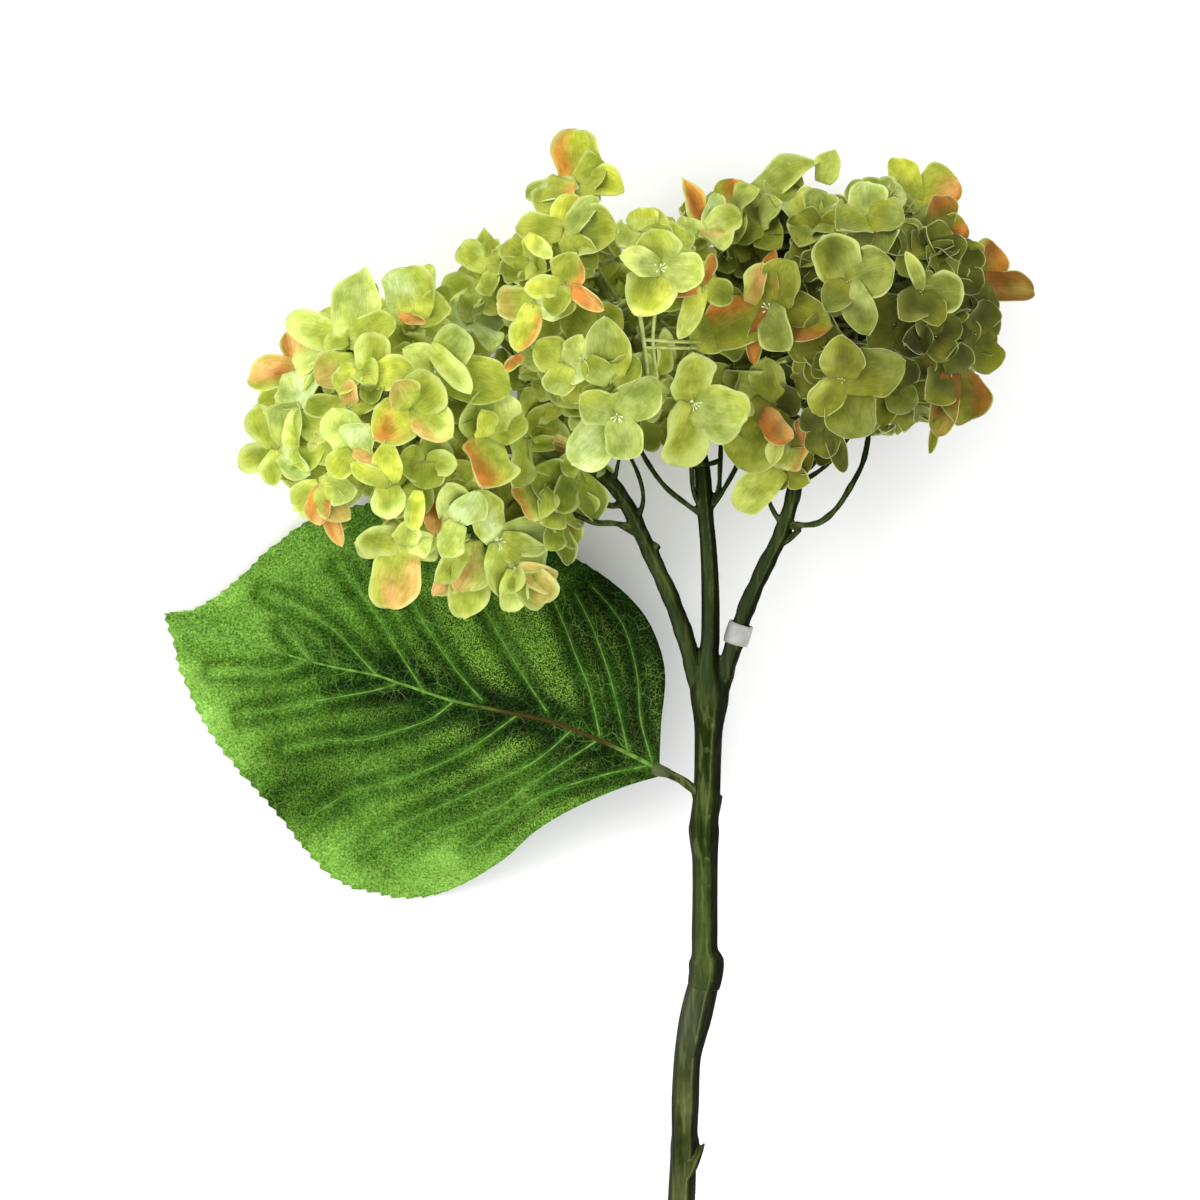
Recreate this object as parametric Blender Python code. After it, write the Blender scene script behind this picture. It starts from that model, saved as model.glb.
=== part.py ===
"""Cut hydrangea: one flowering stem with a single leaf, lying on its back.

Working frame, in millimetres: u to the right, v along the stem towards the
flower head, w up from the surface the stem lies on. The finished part is in
metres with its origin under the middle of its bounding box.
"""

import math

import bmesh
import bpy
from mathutils import Matrix, Vector
from mathutils.bvhtree import BVHTree

# ---------------------------------------------------------------- dimensions
MM = 0.001
STEM_END_V = -100.0       # the cut end
STEM_END_W = 4.0          # height of the stem's axis at the cut end
STEM_SLOPE = 0.140        # rise of the axis for each millimetre along v
GAP = 0.35                # clearance between neighbouring pieces

FLORET_R = 12.0           # centre of a floret to the tip of a sepal
NOTCH = 0.30              # radius of the notch between sepals, as a share
SHOULDER = 0.86           # radius of a sepal's shoulders, as a share
LENS = 0.38               # half thickness of a sepal at its middle
PEDICEL_R = 0.62          # pedicel radius
PEDICEL_CLEAR = 0.30      # extra radius kept free round a pedicel

LEAF_HALF_THICK = 0.45

# Flower clusters: middle (u, v, w) and half axes of the shell that the floret
# centres sit on.
CLUSTERS = {
    "left": ((-87.0, 214.0, 52.0), (33.0, 39.0, 41.0)),
    "centre": ((-24.0, 249.0, 54.0), (32.0, 37.0, 41.0)),
    "right": ((49.0, 247.0, 53.0), (32.0, 35.0, 41.0)),
}

# Florets of the upper side: cluster, u, v, lift above the shell.
UPPER = [
    ("left", -112, 232, 0), ("left", -97, 244, 1), ("left", -80, 248, 2),
    ("left", -66, 247, -2), ("left", -70, 236, 4), ("left", -102, 229, 2),
    ("left", -90, 234, 4), ("left", -81, 221, 7), ("left", -98, 213, 4),
    ("left", -117, 213, 0), ("left", -107, 200, 1), ("left", -88, 201, 5),
    ("left", -76, 207, 1), ("left", -85, 184, 2), ("left", -68, 191, 5),
    ("left", -68, 177, 1), ("left", -58, 215, 8), ("left", -49, 205, 6),
    ("left", -57, 184, 5), ("left", -53, 172, -3), ("left", -34, 203, -4),
    ("left", -42, 190, -8),
    ("centre", -58, 263, 0), ("centre", -50, 251, 4), ("centre", -47, 264, -3),
    ("centre", -33, 286, 1), ("centre", -35, 271, 3), ("centre", -39, 258, 5),
    ("centre", -12, 260, 8), ("centre", -39, 238, 2), ("centre", -27, 238, 0),
    ("centre", -24, 219, 8), ("centre", -2, 223, 10), ("centre", -1, 255, 1),
    ("centre", 1, 273, 2), ("centre", -18, 275, -3), ("centre", -45, 221, 1),
    ("right", 13, 279, 0), ("right", 18, 248, 9), ("right", 21, 222, 7),
    ("right", 40, 228, 5), ("right", 50, 238, 5), ("right", 42, 256, 7),
    ("right", 46, 272, 4), ("right", 29, 284, 1), ("right", 24, 273, 3),
    ("right", 60, 279, 1), ("right", 66, 270, -2), ("right", 77, 259, 1),
    ("right", 62, 255, 4), ("right", 76, 243, 0), ("right", 69, 229, 1),
    ("right", 54, 226, -8), ("right", 37, 213, -6), ("right", 35, 277, -4),
    ("right", 47, 282, -6), ("right", 65, 242, -3), ("right", 27, 206, -4),
]

# Florets of the underside, by cluster: how many, and the lowest v they reach.
UNDER = {"left": (15, 203.0), "centre": (15, 214.0), "right": (15, 214.0)}

# Inner run of each branch through its cluster: the pedicel forks meet it.
RACHIS = {
    "left": [(-27.5, 203, 48.6), (-30, 205, 49), (-44, 209, 51), (-60, 211, 52), (-76, 213, 52),
             (-92, 214, 52), (-104, 216, 52)],
    "centre": [(-0.6, 207, 47.4), (-1.6, 214, 49), (-6, 224, 52), (-14, 234, 53), (-22, 245, 54),
               (-28, 257, 54), (-32, 268, 54)],
    "right": [(28.2, 207.5, 48.8), (29, 211, 49), (35, 221, 51), (42, 231, 52), (49, 242, 53),
              (55, 254, 53), (57, 265, 53)],
}

CULM = (0.13, 0.16, 0.06)
GREENS = {"left": (0.55, 0.62, 0.22), "centre": (0.48, 0.58, 0.18),
          "right": (0.27, 0.34, 0.08)}


def axis_w(v):
    """Height of the stem's axis above the surface."""
    return STEM_END_W + (v - STEM_END_V) * STEM_SLOPE


# ------------------------------------------------------------------- meshes
class Shape:
    """Corners in millimetres and faces, made into an object at the end."""

    def __init__(self):
        self.points, self.faces = [], []

    def add(self, p):
        self.points.append(Vector(p))
        return len(self.points) - 1

    def tree(self):
        return BVHTree.FromPolygons(self.points, self.faces, epsilon=0.0)

    def low(self):
        return min(p.z for p in self.points)


def frames(path):
    """A side and an up vector at each point of a path, without twist."""
    n = len(path)
    tangents = []
    for i in range(n):
        a, b = path[max(i - 1, 0)], path[min(i + 1, n - 1)]
        tangents.append((b - a).normalized())
    side = tangents[0].cross(Vector((0, 0, 1)))
    if side.length < 1e-3:
        side = tangents[0].cross(Vector((0, 1, 0)))
    side.normalize()
    result = []
    for t in tangents:
        side = (side - t * side.dot(t)).normalized()
        result.append((side, side.cross(t).normalized()))
    return result


def tube(shape, path, radii, sides=8):
    """A closed round bar along a path."""
    path = [Vector(p) for p in path]
    rings = []
    for p, r, (x, y) in zip(path, radii, frames(path)):
        ring = []
        for k in range(sides):
            a = 2 * math.pi * (k + 0.5) / sides
            ring.append(shape.add(p + (x * math.cos(a) + y * math.sin(a)) * r))
        rings.append(ring)
    for one, two in zip(rings, rings[1:]):
        for k in range(sides):
            j = (k + 1) % sides
            shape.faces.append((one[k], one[j], two[j], two[k]))
    shape.faces.append(tuple(reversed(rings[0])))
    shape.faces.append(tuple(rings[-1]))
    return shape


def smooth_path(points, step):
    """Points about step apart on a smooth curve through the given ones."""
    pts = [Vector(p) for p in points]
    out = []
    for i in range(len(pts) - 1):
        p0, p1 = pts[max(i - 1, 0)], pts[i]
        p2, p3 = pts[i + 1], pts[min(i + 2, len(pts) - 1)]
        n = max(1, round((p2 - p1).length / step))
        for k in range(n):
            t = k / n
            out.append(0.5 * ((2 * p1) + (p2 - p0) * t
                              + (2 * p0 - 5 * p1 + 4 * p2 - p3) * t * t
                              + (3 * p1 - p0 - 3 * p2 + p3) * t ** 3))
    out.append(pts[-1])
    return out


def tapered(points, r0, r1, step=7.0, sides=8):
    path = smooth_path(points, step)
    n = len(path) - 1
    return tube(Shape(), path, [r0 + (r1 - r0) * i / n for i in range(n + 1)],
                sides)


# ------------------------------------------------------------------ objects
offset = Vector((0, 0, 0))
made = []


def material(name, colour, rough):
    m = bpy.data.materials.new(name)
    m.use_nodes = True
    b = m.node_tree.nodes["Principled BSDF"]
    b.inputs["Base Color"].default_value = (*colour, 1)
    b.inputs["Roughness"].default_value = rough
    b.inputs["Metallic"].default_value = 0.0
    m.diffuse_color = (*colour, 1)
    return m


def build(name, shape, colour=None, rough=0.6, smooth=True):
    """The shape as a mesh object with outward faces."""
    mesh = bpy.data.meshes.new(name)
    bm = bmesh.new()
    corners = [bm.verts.new(p) for p in shape.points]
    for f in shape.faces:
        bm.faces.new([corners[i] for i in f])
    bmesh.ops.triangulate(bm, faces=[f for f in bm.faces if len(f.verts) > 4])
    bmesh.ops.recalc_face_normals(bm, faces=bm.faces)
    if bm.calc_volume(signed=True) < 0:
        bmesh.ops.reverse_faces(bm, faces=bm.faces)
    bm.to_mesh(mesh)
    bm.free()
    obj = bpy.data.objects.new(name, mesh)
    bpy.context.scene.collection.objects.link(obj)
    if colour:
        mesh.materials.append(material(name, colour, rough))
    if smooth:
        mesh.shade_smooth()
        mesh.set_sharp_from_angle(angle=math.radians(45))
    made.append(obj)
    return obj


def joined(name, shapes, colour, rough=0.5):
    """Several overlapping bars made into one body."""
    base = build(name, shapes[0])
    others = [build(name + "_arm", s) for s in shapes[1:]]
    for o in others:
        mod = base.modifiers.new("join", "BOOLEAN")
        mod.operation, mod.solver, mod.object = "UNION", "EXACT", o
    graph = bpy.context.evaluated_depsgraph_get()
    mesh = bpy.data.meshes.new_from_object(base.evaluated_get(graph))
    base.modifiers.clear()
    base.data = mesh
    mesh.materials.clear()
    mesh.materials.append(material(name, colour, rough))
    for o in others:
        made.remove(o)
        bpy.data.objects.remove(o)
    shape = Shape()
    shape.points = [v.co.copy() for v in mesh.vertices]
    shape.faces = [tuple(p.vertices) for p in mesh.polygons]
    return shape


# ------------------------------------------------------------------- florets
class Floret:
    """Where one floret is, which way it faces and how large it is."""

    def __init__(self, cluster, at, facing, twist=0.0, size=1.0, cup=0.20):
        self.cluster, self.at, self.facing = cluster, Vector(at), Vector(facing)
        self.twist, self.size, self.cup = twist, size, cup

    def axes(self):
        z = self.facing.normalized()
        x = Vector((math.cos(self.twist), math.sin(self.twist), 0.0))
        x = x - z * x.dot(z)
        if x.length < 0.2:
            x = Vector((0, 0, 1)) - z * z.z
        x.normalize()
        return x, z.cross(x), z

    def moved(self, along=0.0, turn=0.0, scale=1.0, aside=(0.0, 0.0)):
        x, y, z = self.axes()
        return Floret(self.cluster, self.at + z * along + x * aside[0] + y * aside[1],
                      self.facing, self.twist + turn, self.size * scale, self.cup)

    def put(self, shape):
        """Adds the four sepals; returns the ring under the centre."""
        x, y, z = self.axes()
        r = FLORET_R * self.size

        def at(angle, radius, lift):
            h = self.cup * r * (radius / r) ** 2 + lift
            return shape.add(self.at + (x * math.cos(angle) + y * math.sin(angle))
                             * radius + z * h)

        notch, s1, tip, s2, mid, under = [], [], [], [], [], []
        for k in range(4):
            a = k * math.pi / 2
            notch.append(at(a - math.pi / 4, NOTCH * r, 0.0))
            s1.append(at(a - 0.50, SHOULDER * r, 0.0))
            tip.append(at(a, r, 0.0))
            s2.append(at(a + 0.50, SHOULDER * r, 0.0))
            mid.append(at(a, 0.55 * r, LENS))
            under.append(at(a, 0.55 * r, -LENS))
        top = at(0, 0, LENS)
        ring = [at(k * math.pi / 2 - math.pi / 4, PEDICEL_R, -LENS)
                for k in range(4)]
        f = shape.faces
        for k in range(4):
            j = (k + 1) % 4
            f += [(top, notch[k], mid[k]), (top, mid[k], notch[j]),
                  (notch[k], s1[k], mid[k]), (s1[k], tip[k], mid[k]),
                  (tip[k], s2[k], mid[k]), (s2[k], notch[j], mid[k])]
            f += [(ring[k], under[k], notch[k]), (ring[k], ring[j], under[k]),
                  (ring[j], notch[j], under[k]),
                  (notch[k], under[k], s1[k]), (s1[k], under[k], tip[k]),
                  (tip[k], under[k], s2[k]), (s2[k], under[k], notch[j])]
        return ring


def disc(floret, stub=5.0):
    """The floret alone, closed, with a short length of its pedicel."""
    shape = Shape()
    ring = floret.put(shape)
    z = floret.facing.normalized()
    end = [shape.add(shape.points[i] - z * stub) for i in ring]
    for k in range(4):
        j = (k + 1) % 4
        shape.faces.append((ring[k], ring[j], end[j], end[k]))
    shape.faces.append(tuple(end))
    return shape


def bridge(shape, one, two):
    """Four sides between two rings that run the same way round."""
    best = min(range(4), key=lambda s: sum(
        (shape.points[one[k]] - shape.points[two[(k + s) % 4]]).length_squared
        for k in range(4)))
    two = [two[(k + best) % 4] for k in range(4)]
    sides = []
    for k in range(4):
        j = (k + 1) % 4
        sides.append((one[k], one[j], two[j], two[k]))
    return sides


def sprig(florets, fork, root, radius=PEDICEL_R):
    """Two florets on a forked pedicel whose stalk runs to root."""
    shape = Shape()
    a, b = florets
    ring_a, ring_b = a.put(shape), b.put(shape)
    za, zb = a.facing.normalized(), b.facing.normalized()
    across = (b.at - a.at)
    inward = (root - fork).normalized()
    across = (across - inward * across.dot(inward)).normalized()
    fa, fb = fork - across * 0.9, fork + across * 0.9
    path = [a.at - za * 4.0, fa - inward * 1.0, fb - inward * 1.0, b.at - zb * 4.0]
    heads = [-za, (across * 0.75 + inward * 0.25).normalized(),
             (across * 0.75 - inward * 0.25).normalized(), zb]
    rings = []
    for i, (p, t) in enumerate(zip(path, heads)):
        up = -inward - t * (-inward).dot(t)
        if up.length < 0.15:
            up = across - t * across.dot(t)
        up.normalize()
        side = up.cross(t)
        ring = []
        for k in range(4):
            c = math.pi / 4 + k * math.pi / 2
            ring.append(shape.add(p + (side * math.cos(c) + up * math.sin(c))
                                  * radius * 1.25))
        rings.append(ring)
    shape.faces += bridge(shape, list(reversed(ring_a)), rings[0])
    shape.faces += bridge(shape, rings[0], rings[1])
    middle = bridge(shape, rings[1], rings[2])
    shape.faces += bridge(shape, rings[2], rings[3])
    shape.faces += bridge(shape, rings[3], ring_b)

    def outward(face):
        c = sum((shape.points[i] for i in face), Vector()) / 4
        return (c - (path[1] + path[2]) / 2).normalized().dot(inward)

    mouth = max(middle, key=outward)
    middle.remove(mouth)
    shape.faces += middle
    start = list(mouth)
    t = inward
    loops = [start]
    for share in (0.35, 1.0):
        p = fork + (root - fork) * share
        ring = []
        first = shape.points[start[0]] - fork
        side = (first - t * first.dot(t)).normalized()
        other = t.cross(side)
        # keep the way round of the mouth
        second = shape.points[start[1]] - fork
        sign = 1.0 if other.dot(second) > 0 else -1.0
        for k in range(4):
            c = sign * k * math.pi / 2
            ring.append(shape.add(p + (side * math.cos(c) + other * math.sin(c))
                                  * radius * 1.25))
        loops.append(ring)
    for one, two in zip(loops, loops[1:]):
        shape.faces += bridge(shape, one, two)
    shape.faces.append(tuple(loops[-1]))
    return shape


def shell_point(cluster, u, v, lift, under=False):
    """A floret centre on a cluster's shell and the way it faces."""
    (cu, cv, cw), (a, b, c) = CLUSTERS[cluster]
    x, y = (u - cu) / a, (v - cv) / b
    q = math.hypot(x, y)
    side = -1.0 if under else 1.0
    # out past the shell's rim a floret looks sideways, level with the middle
    k = math.sqrt(max(0.0, 1.0 - min(q, 1.0) ** 2))
    w = cw + side * k * c
    n = Vector((x / a, y / b, side * k / c))
    n.normalize()
    n = (n + Vector((0, 0, 0.55 * side))).normalized()
    p = Vector((u, v, w)) + n * lift
    return p, n


# ================================================================= the model
for old in list(bpy.data.objects):
    bpy.data.objects.remove(old)


def on_axis(rows):
    """(v, u, radius) rows as points at the height of the stem's axis."""
    return [Vector((u, v, axis_w(v))) for v, u, r in rows], [r for v, u, r in rows]


# lower stem: slightly crooked, with the scar of an old leaf node
path, radii = on_axis([
    (STEM_END_V, -9.0, 3.9), (-80, -8.6, 3.8), (-58, -8.0, 3.7), (-48, -7.6, 4.7),
    (-43, -7.4, 4.5), (-36, -7.0, 3.7), (-18, -6.2, 3.6), (0, -5.2, 3.7),
    (10, -4.6, 3.7), (15, -4.1, 4.5), (19, -4.2, 3.8), (28, -4.0, 3.7),
    (39, -3.6, 3.7), (50, -1.4, 4.3), (56, -0.1, 4.3), (60.3, 1.0, 4.1)])
lower = tube(Shape(), path, radii, 10)
build("stem_lower", lower, CULM, 0.45)

# upper stem, with the centre flower branch growing straight on from it
path, radii = on_axis([
    (60.3 + GAP + 0.2, 1.2, 4.2), (63, 1.6, 4.8), (66, 1.8, 4.9), (69, 1.5, 4.0),
    (76, 1.3, 3.6), (95, 1.4, 3.6), (104, 1.1, 4.0), (111, 1.7, 4.0),
    (116, 2.0, 3.7), (131, 2.4, 3.9), (138, 2.6, 4.8), (143, 2.5, 5.0),
    (146.2, 2.4, 4.9), (147.6, 2.35, 2.9), (158, 2.4, 2.5), (170, 2.5, 2.5), (182, 2.1, 2.3),
    (190, 1.7, 2.1), (196, 1.2, 2.2), (205, 0.6, 2.0), (213, -1.0, 1.9)])
core = tube(Shape(), path, radii, 10)
w0 = axis_w(193)
arms = [core,
        tapered(RACHIS["centre"], 1.8, 1.1),
        tapered([(1.0, 191.5, w0), (-4, 195, w0 + 1), (-10, 200, w0 + 3),
                 (-15, 207, w0 + 6), (-18, 214, w0 + 8)], 0.95, 0.8, 5, 6),
        tapered([(2.4, 193, w0), (6, 198, w0 + 2), (9.5, 203.5, w0 + 4),
                 (12, 209, w0 + 4)], 1.0, 0.8, 5, 6),
        tapered([(1.6, 192, w0), (-2.0, 199, w0 + 4), (-2.6, 207, w0 + 7)],
                0.9, 0.8, 5, 6),
        tapered([(3.0, 194, w0), (5.6, 203, w0 - 3), (5.8, 211, w0 - 4)],
                0.9, 0.8, 5, 6)]
stem_upper = joined("stem_upper", arms, CULM)

# left flower branch
w0 = axis_w(190)
arms = [tapered([(-3.25, 148.2, axis_w(148.2)), (-4.9, 156, axis_w(156)),
                 (-8.8, 168, axis_w(168)), (-12.8, 178, axis_w(178)),
                 (-17.2, 188, axis_w(188)), (-21, 196, w0 + 1),
                 (-25, 201, w0 + 2), (-30, 205, 49)], 2.15, 1.7, 6, 10),
        tapered(RACHIS["left"], 1.8, 1.1),
        tapered([(-17.4, 188.5, w0), (-24.6, 189.5, w0 + 1), (-29, 189.6, w0 + 2),
                 (-34, 191.5, w0 + 3), (-40, 196, w0 + 3)], 1.0, 0.8, 5, 6),
        tapered([(-17.6, 189, w0), (-15.9, 196, w0 + 2), (-17, 203, w0 + 5),
                 (-20.5, 209.5, w0 + 7)], 0.9, 0.7, 5, 6),
        tapered([(-24.0, 200, w0 + 1), (-23.2, 204, w0 + 4), (-22.6, 209, w0 + 3)],
                0.9, 0.7, 5, 6)]
branch_left = joined("branch_left", arms, CULM)

# right flower branch
arms = [tapered([(7.9, 148.2, axis_w(148.2)), (9.9, 157, axis_w(157)),
                 (13, 167, axis_w(167)), (18, 178, axis_w(178)),
                 (22.4, 187, axis_w(187)), (25, 195, w0 + 1),
                 (26.8, 203, w0 + 2), (29, 211, 49)], 2.15, 1.9, 6, 10),
        tapered(RACHIS["right"], 1.8, 1.1),
        tapered([(23.4, 188.5, w0), (20, 194, w0 + 2), (18.4, 200, w0 + 3),
                 (18, 206, w0 + 4)], 0.9, 0.7, 5, 6),
        tapered([(23.6, 188.5, w0), (30, 189, w0 + 1), (34.5, 190.5, w0 + 2),
                 (38.8, 194, w0 + 2), (42, 199.5, w0 + 2), (45, 205.5, w0 + 2),
                 (46.6, 211, w0 + 2), (47.8, 217, w0 + 1)], 1.05, 0.9, 5, 6),
        tapered([(26.9, 203, w0 + 2), (32, 205, w0 + 1), (37, 209, w0),
                 (41, 214, w0 - 1)], 0.95, 0.8, 5, 6)]
branch_right = joined("branch_right", arms, CULM)

# the plain band round the right branch
band = Shape()
mid = Vector((10.7, 159.5, axis_w(159.5)))
along = Vector((3.4, 10.0, 1.4)).normalized()
bx = along.cross(Vector((0, 0, 1))).normalized()
by = bx.cross(along)
loops = []
for r, h in ((2.85, -2.2), (3.25, -2.2), (3.25, 2.2), (2.85, 2.2)):
    loops.append([band.add(mid + along * h + (bx * math.cos(k * math.pi / 8)
                                              + by * math.sin(k * math.pi / 8)) * r)
                  for k in range(16)])
for one, two in zip(loops, loops[1:] + loops[:1]):
    for k in range(16):
        j = (k + 1) % 16
        band.faces.append((one[k], one[j], two[j], two[k]))
build("branch_band", band, (0.75, 0.75, 0.74), 0.5)

# leaf stalk
w0 = axis_w(116.5)
petiole = tapered([(-2.35, 116.2, w0), (-5.4, 118.0, w0 - 1.2),
                   (-10.9, 120.2, w0 - 3.0)], 1.15, 1.5, 2.6, 8)
build("petiole", petiole, CULM, 0.5)

# ---------------------------------------------------------------------- leaf
# Ribs run from the midrib to the margin, base to tip: (midrib u, v), then the
# margin points above and below it.
RIBS = [
    ((-11.3, 120.3), (-11.3, 122.6), (-11.4, 118.6)),
    ((-14.0, 121.5), (-10.9, 133.0), (-22.0, 116.6)),
    ((-19.0, 123.6), (-9.8, 148.0), (-36.0, 110.8)),
    ((-26.0, 127.0), (-13.6, 160.5), (-46.5, 104.4)),
    ((-34.0, 130.6), (-20.5, 169.5), (-56.0, 96.0)),
    ((-43.0, 133.6), (-31.0, 177.4), (-69.0, 88.4)),
    ((-53.0, 136.0), (-44.5, 184.5), (-80.5, 85.6)),
    ((-63.0, 138.4), (-60.0, 190.6), (-91.0, 87.2)),
    ((-73.0, 141.2), (-76.0, 194.4), (-101.0, 90.4)),
    ((-83.0, 144.2), (-92.0, 195.0), (-110.0, 97.4)),
    ((-94.0, 147.4), (-106.5, 191.8), (-120.0, 110.0)),
    ((-105.0, 150.6), (-119.0, 183.6), (-130.4, 121.5)),
    ((-117.0, 154.2), (-131.0, 172.6), (-139.6, 134.6)),
    ((-130.0, 158.2), (-140.5, 166.0), (-145.4, 147.8)),
    ((-141.0, 161.6), (-146.4, 164.8), (-147.8, 157.0)),
]
TIP = (-150.4, 164.2)


def leaf_w(u, v, away):
    """Height of the blade: it falls from the stalk, its margins lie lower.

    away is the distance from the midrib, negative below it."""
    s = min(1.0, max(0.0, (-11.0 - u) / 139.0))
    ridge = 28.6 * (1 - s) ** 1.4 + 2.0
    belly = 6.0 * math.sin(math.pi * min(1.0, s * 1.15)) ** 2
    fall = (0.0066 if away < 0 else 0.0040) * away * away
    return max(ridge + belly - fall, 0.75)


leaf = Shape()
STEPS = (-1.0, -0.66, -0.33, 0.0, 0.33, 0.66, 1.0)
tops, bottoms = [], []
for (mu, mv), (uu, uv), (lu, lv) in RIBS:
    row_t, row_b = [], []
    for t in STEPS:
        eu, ev = (uu, uv) if t > 0 else (lu, lv)
        k = abs(t)
        u, v = mu + (eu - mu) * k, mv + (ev - mv) * k
        w = leaf_w(u, v, math.hypot(eu - mu, ev - mv) * t)
        row_t.append(leaf.add((u, v, w + LEAF_HALF_THICK)))
        row_b.append(leaf.add((u, v, w - LEAF_HALF_THICK)))
    tops.append(row_t)
    bottoms.append(row_b)
tw = leaf_w(*TIP, 0.0)
tip_t = leaf.add((*TIP, tw + LEAF_HALF_THICK))
tip_b = leaf.add((*TIP, tw - LEAF_HALF_THICK))
m = len(STEPS)
for i in range(len(RIBS) - 1):
    for k in range(m - 1):
        leaf.faces.append((tops[i][k], tops[i][k + 1], tops[i + 1][k + 1], tops[i + 1][k]))
        leaf.faces.append((bottoms[i][k], bottoms[i + 1][k], bottoms[i + 1][k + 1], bottoms[i][k + 1]))
    for k in (0, m - 1):
        leaf.faces.append((tops[i][k], tops[i + 1][k], bottoms[i + 1][k], bottoms[i][k]))
for k in range(m - 1):
    leaf.faces.append((tops[0][k], bottoms[0][k], bottoms[0][k + 1], tops[0][k + 1]))
    leaf.faces.append((tops[-1][k], tops[-1][k + 1], tip_t))
    leaf.faces.append((bottoms[-1][k], tip_b, bottoms[-1][k + 1]))
leaf.faces.append((tops[-1][0], tip_t, tip_b, bottoms[-1][0]))
leaf.faces.append((tops[-1][-1], bottoms[-1][-1], tip_b, tip_t))
build("leaf", leaf, (0.07, 0.22, 0.03), 0.6)

# ---------------------------------------------------------- floret placement
fixed = [s.tree() for s in (lower, stem_upper, branch_left, branch_right,
                            petiole, leaf, band)]

wanted = []
for index, (cluster, u, v, lift) in enumerate(UPPER):
    p, n = shell_point(cluster, u, v, lift)
    wanted.append(Floret(cluster, p, n, twist=0.7 * index))
for cluster, (count, v_low) in UNDER.items():
    (cu, cv, cw), (a, b, c) = CLUSTERS[cluster]
    placed, k = 0, 0
    while placed < count and k < 400:
        # a sunflower spiral over the underside
        radius = math.sqrt((k + 0.5) / (count + 5.0))
        angle = k * 2.399963 + (0.4 if cluster == "left" else 1.1)
        k += 1
        if radius > 1.06:
            continue
        u, v = cu + a * radius * math.cos(angle), cv + b * radius * math.sin(angle)
        if v < v_low:
            continue
        p, n = shell_point(cluster, u, v, 0.0, under=True)
        wanted.append(Floret(cluster, p, n, twist=0.5 * k, cup=0.12))
        placed += 1

tries = [(along, turn, scale, aside)
         for scale in (1.0, 0.92, 0.84, 0.76, 0.68)
         for aside in ((0, 0), (2.5, 0), (-2.5, 0), (0, 2.5), (0, -2.5))
         for along in (0.0, 2.0, -2.0, 4.0, -4.0, 6.0, -6.5, -9.0)
         for turn in (0.0, 0.4, 0.8)]
under_first = sorted(range(len(wanted)), key=lambda i: wanted[i].at.z)
placed_trees = {}
florets = {}
for i in under_first:
    for along, turn, scale, aside in tries:
        f = wanted[i].moved(along, turn, scale, aside)
        s = disc(f)
        if s.low() < 0.25:
            continue
        t = s.tree()
        if any(t.overlap(o) for o in fixed):
            continue
        if any(t.overlap(placed_trees[j]) for j in placed_trees
               if (florets[j].at - f.at).length < 30):
            continue
        florets[i], placed_trees[i] = f, t
        break

# ----------------------------------------------------- pairs and their forks
rails = {c: smooth_path(p, 1.5) for c, p in RACHIS.items()}


def crosses_itself(shape, tree):
    """Whether two faces that share no corner meet."""
    for i, j in tree.overlap(tree):
        if i < j and not set(shape.faces[i]) & set(shape.faces[j]):
            return True
    return False


def nearest_on_rail(cluster, p):
    return min(rails[cluster], key=lambda q: (q - p).length)


def find_fork(cluster, i, j):
    """A fork and a root for two florets whose pedicels clear all the rest."""
    a, b = florets[i], florets[j]
    others = [placed_trees[k] for k in placed_trees if k not in (i, j)]
    middle = (a.at + b.at) / 2
    out = (a.facing + b.facing).normalized()
    across = (b.at - a.at).normalized()
    other = out.cross(across)
    for depth in (11.0, 14.0, 8.5, 17.0, 20.0, 6.5, 24.0):
        for da in (0.0, 3.0, -3.0, 6.0, -6.0):
            fork = middle - out * depth + other * da
            near = rails[cluster].index(nearest_on_rail(cluster, fork))
            for slide in (0.0, 5.0, -5.0, 10.0, -10.0, 16.0, -16.0):
                k = near + int(slide / 1.5)
                rail = rails[cluster][max(0, min(len(rails[cluster]) - 1, k))]
                way = fork - rail
                if way.length < 6:
                    continue
                root = rail + way.normalized() * 2.9
                s = sprig((a, b), fork, root, PEDICEL_R + PEDICEL_CLEAR)
                if s.low() < 0.1:
                    continue
                t = s.tree()
                if any(t.overlap(o) for o in fixed) or any(t.overlap(o) for o in others) \
                        or any(t.overlap(o) for o in done):
                    continue
                slim = sprig((a, b), fork, root)
                if crosses_itself(slim, slim.tree()):
                    continue
                return fork, root
    return None


done, lost = [], []
counts = {c: 0 for c in CLUSTERS}
for cluster in CLUSTERS:
    free = [i for i in sorted(florets) if florets[i].cluster == cluster]
    while free:
        # the floret furthest out picks the nearest neighbour it can share with
        c = Vector(CLUSTERS[cluster][0])
        i = max(free, key=lambda k: (florets[k].at - c).length)
        free.remove(i)
        near = sorted(free, key=lambda k: (florets[k].at - florets[i].at).length)
        for j in near[:9]:
            best = find_fork(cluster, i, j)
            if best:
                break
        else:
            lost.append((cluster, i))
            continue
        free.remove(j)
        s = sprig((florets[i], florets[j]), *best)
        done.append(s.tree())
        counts[cluster] += 1
        shade = 0.75 + 0.25 * ((i * 7) % 5) / 4
        build(f"floret_pair_{cluster}_{counts[cluster]:02d}", s,
              tuple(c * shade for c in GREENS[cluster]), 0.75, smooth=False)

print("florets", len(wanted), "placed", len(florets),
      "pairs", sum(counts.values()), "lost", lost)

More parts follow.
